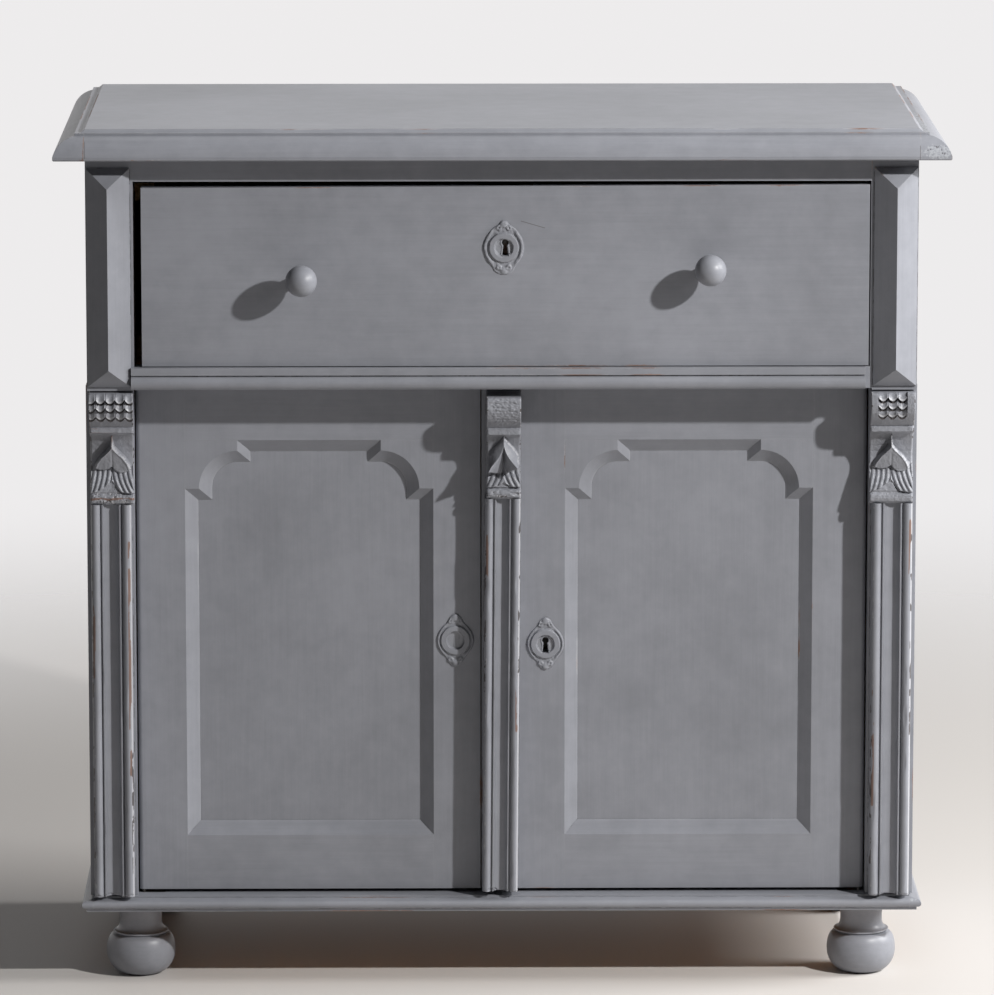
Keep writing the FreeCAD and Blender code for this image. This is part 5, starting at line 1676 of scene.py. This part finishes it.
@dataclass
class Doors:
    """The two doors, with their plates, the left one's bolt and the right one's lock and strip."""

    finishes: ClassVar[dict[str, Finish]] = {
        **{f"{hand}_door_{part}": Paint(grain, wear=wear, bare=(BACK_FACE,), seams=True)
           for hand in ("left", "right")
           for part, grain, wear in (
               ("hinge_stile", Grain.UPRIGHT, 0.45), ("lock_stile", Grain.UPRIGHT, 0.45),
               ("top_rail", Grain.ACROSS, 0.3), ("bottom_rail", Grain.ACROSS, 0.4),
               ("spandrels", Grain.UPRIGHT, 0.25), ("panel", Grain.UPRIGHT, 0.2))},
        "left_door_staples": Iron(0.4),
        "left_door_bolt": Iron(0.3),
        "right_door_lock_case": Iron(0.45),
        "right_door_lock_bolt": Iron(0.3),
    }
    plate_outline: ClassVar[tuple[Pair, ...]] = (
        (0, 31.2), (6, 30.4), (12, 28.4), (18, 25.0), (26, 22.6), (36, 21.7), (60, 21.4),
        (120, 21.4), (140, 21.7), (152, 23.2), (160, 26.2), (168, 28.8), (180, 31.0),
    )
    # How far above the plate's middle the keyhole's round head lies
    keyhole_lift: ClassVar[float] = 4.0

    def build(self) -> None:
        """Dresses the doors."""
        for node, finish in self.finishes.items():
            dress_node(node, finish)
        CentreConsole(name="carved_console_centre", body="right_door", node="centre_console",
                      seed=30).build()
        FlutedStrip(name="fluted_centre_strip", body="right_door", node="centre_strip", seed=50,
                    dark_runs=((1, 0.05, 0.5), (-1, 0.1, 0.5)),
                    worn_runs=((-1, 0.08, 0.26), (1, 0.4, 0.6)), lean=3.2).build()
        for hand, seed in (("left", 64), ("right", 68)):
            node = f"{hand}_door_escutcheon"
            plate, face_y = Span.of(node), Span.of(f"{hand}_door_lock_stile").low[1]
            x, z = plate.middle[0], plate.middle[2]
            KeyholePlate(name=f"cast_plate_{hand}", body=f"{hand}_door", x=x, z=z, face_y=face_y,
                         seed=seed, outline=self.plate_outline,
                         keyhole=None if hand == "left" else (x, z + self.keyhole_lift),
                         thickness=face_y - plate.low[1],
                         dish=10.6, ring=13.4, rim=19.4).build([node])


def dress_node(node: str, finish: Finish) -> None:
    """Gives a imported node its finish, leaving its mesh alone."""
    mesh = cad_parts[node].data
    mesh.materials.clear()
    mesh.materials.append(finish.material())


@dataclass
class Studio:
    """The floor, the light and the camera."""

    lamp: Triple = (2.17, -1.97, 2.157)
    lamp_power: float = 430.0
    lamp_radius: float = 0.055
    fill: float = 0.02
    side_place: Triple = (7.5, -0.3, 4.4)
    side_aim: Triple = (0.0, 0.0, 0.5)
    side_size: float = 3.5
    side_power: float = 900.0
    backdrop: float = 0.85
    floor_half: float = 40.0
    # Metres from the middle at which the floor starts to fade and is gone
    floor_fade: Pair = (1.0, 3.2)
    camera_place: Triple = (-0.094, -7.815, 1.9014)
    camera_pitch: float = 9.891
    camera_yaw: float = -0.663
    # The picture's height and the lens, both in pixels, and the sensor in millimetres
    picture_height: float = 995
    focal_length: float = 6800
    sensor: float = 36

    def build(self) -> None:
        """Sets the stage."""
        bpy.context.scene.view_settings.view_transform = "Standard"
        self.lay_floor()
        self.hang_lights()
        self.light_room()
        self.place_camera()

    def lay_floor(self) -> None:
        """A plain floor that fades into the backdrop."""
        floor = bpy.data.materials.new("floor")
        floor.use_nodes = True
        nodes = NodeMaker(floor.node_tree)
        point = nodes.node("ShaderNodeTexCoord").outputs["Object"]
        far = nodes.value("ShaderNodeVectorMath", {"operation": "LENGTH"}, {0: point}, "Value")
        shader = nodes.node("ShaderNodeBsdfPrincipled", {}, {
            "Base Color": FLOOR_COLOUR, "Roughness": 0.6, "Alpha": 1 - far.eased(*self.floor_fade)})
        nodes.node("ShaderNodeOutputMaterial", {}, {"Surface": shader.outputs[0]})
        mesh = bpy.data.meshes.new("floor")
        half = self.floor_half
        corners = [(-half, -half, 0), (half, -half, 0), (half, half, 0), (-half, half, 0)]
        mesh.from_pydata(corners, [], [(0, 1, 2, 3)])
        mesh.materials.append(floor)
        ground = bpy.data.objects.new("floor", mesh)
        bpy.context.scene.collection.objects.link(ground)

    def hang_lights(self) -> None:
        """A small lamp at the right front for the shadows, and a broad light from the right."""
        lamp = bpy.data.lights.new("key_lamp", "POINT")
        lamp.energy = self.lamp_power
        lamp.shadow_soft_size = self.lamp_radius
        lamp.color = LAMP_COLOUR
        key = bpy.data.objects.new("key_lamp", lamp)
        key.location = self.lamp
        bpy.context.scene.collection.objects.link(key)

        window = bpy.data.lights.new("side_light", "AREA")
        window.size = self.side_size
        window.energy = self.side_power
        side = bpy.data.objects.new("side_light", window)
        side.location = self.side_place
        aim = Vector(self.side_aim) - Vector(self.side_place)
        side.rotation_euler = aim.to_track_quat("-Z", "Y").to_euler()
        bpy.context.scene.collection.objects.link(side)

    def light_room(self) -> None:
        """A faint fill light, and the pale backdrop that the camera, gloss and glass see."""
        world = bpy.data.worlds.new("room")
        bpy.context.scene.world = world
        world.use_nodes = True
        nodes = NodeMaker(world.node_tree)
        path = nodes.node("ShaderNodeLightPath")
        camera, gloss, glass = (Value(nodes, path.outputs[f"Is {kind} Ray"])
                                for kind in ("Camera", "Glossy", "Transmission"))
        seen = camera.larger(gloss).larger(glass)
        room = nodes.node("ShaderNodeBackground", {}, {
            "Color": ROOM_COLOUR, "Strength": self.fill + seen * (self.backdrop - self.fill)})
        nodes.node("ShaderNodeOutputWorld", {}, {"Surface": room.outputs[0]})

    def place_camera(self) -> None:
        """The camera at the photograph's viewing angle."""
        camera = bpy.data.cameras.new("camera")
        camera.sensor_width = self.sensor
        camera.lens = self.sensor * self.focal_length / self.picture_height
        eye = bpy.data.objects.new("camera", camera)
        eye.location = self.camera_place
        eye.rotation_euler = (math.radians(90 - self.camera_pitch), 0.0,
                              math.radians(self.camera_yaw))
        bpy.context.scene.collection.objects.link(eye)
        bpy.context.scene.camera = eye


def main() -> None:
    """Dresses every part of the cupboard in order."""
    logging.basicConfig(level=logging.INFO, format="%(name)s: %(message)s")
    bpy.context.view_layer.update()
    turning, nails = TurningTree(), NailTree()
    Studio().build()
    Carcase().build(turning, nails)
    Drawer().build(turning)
    Doors().build()


if __name__ == "__main__":
    main()
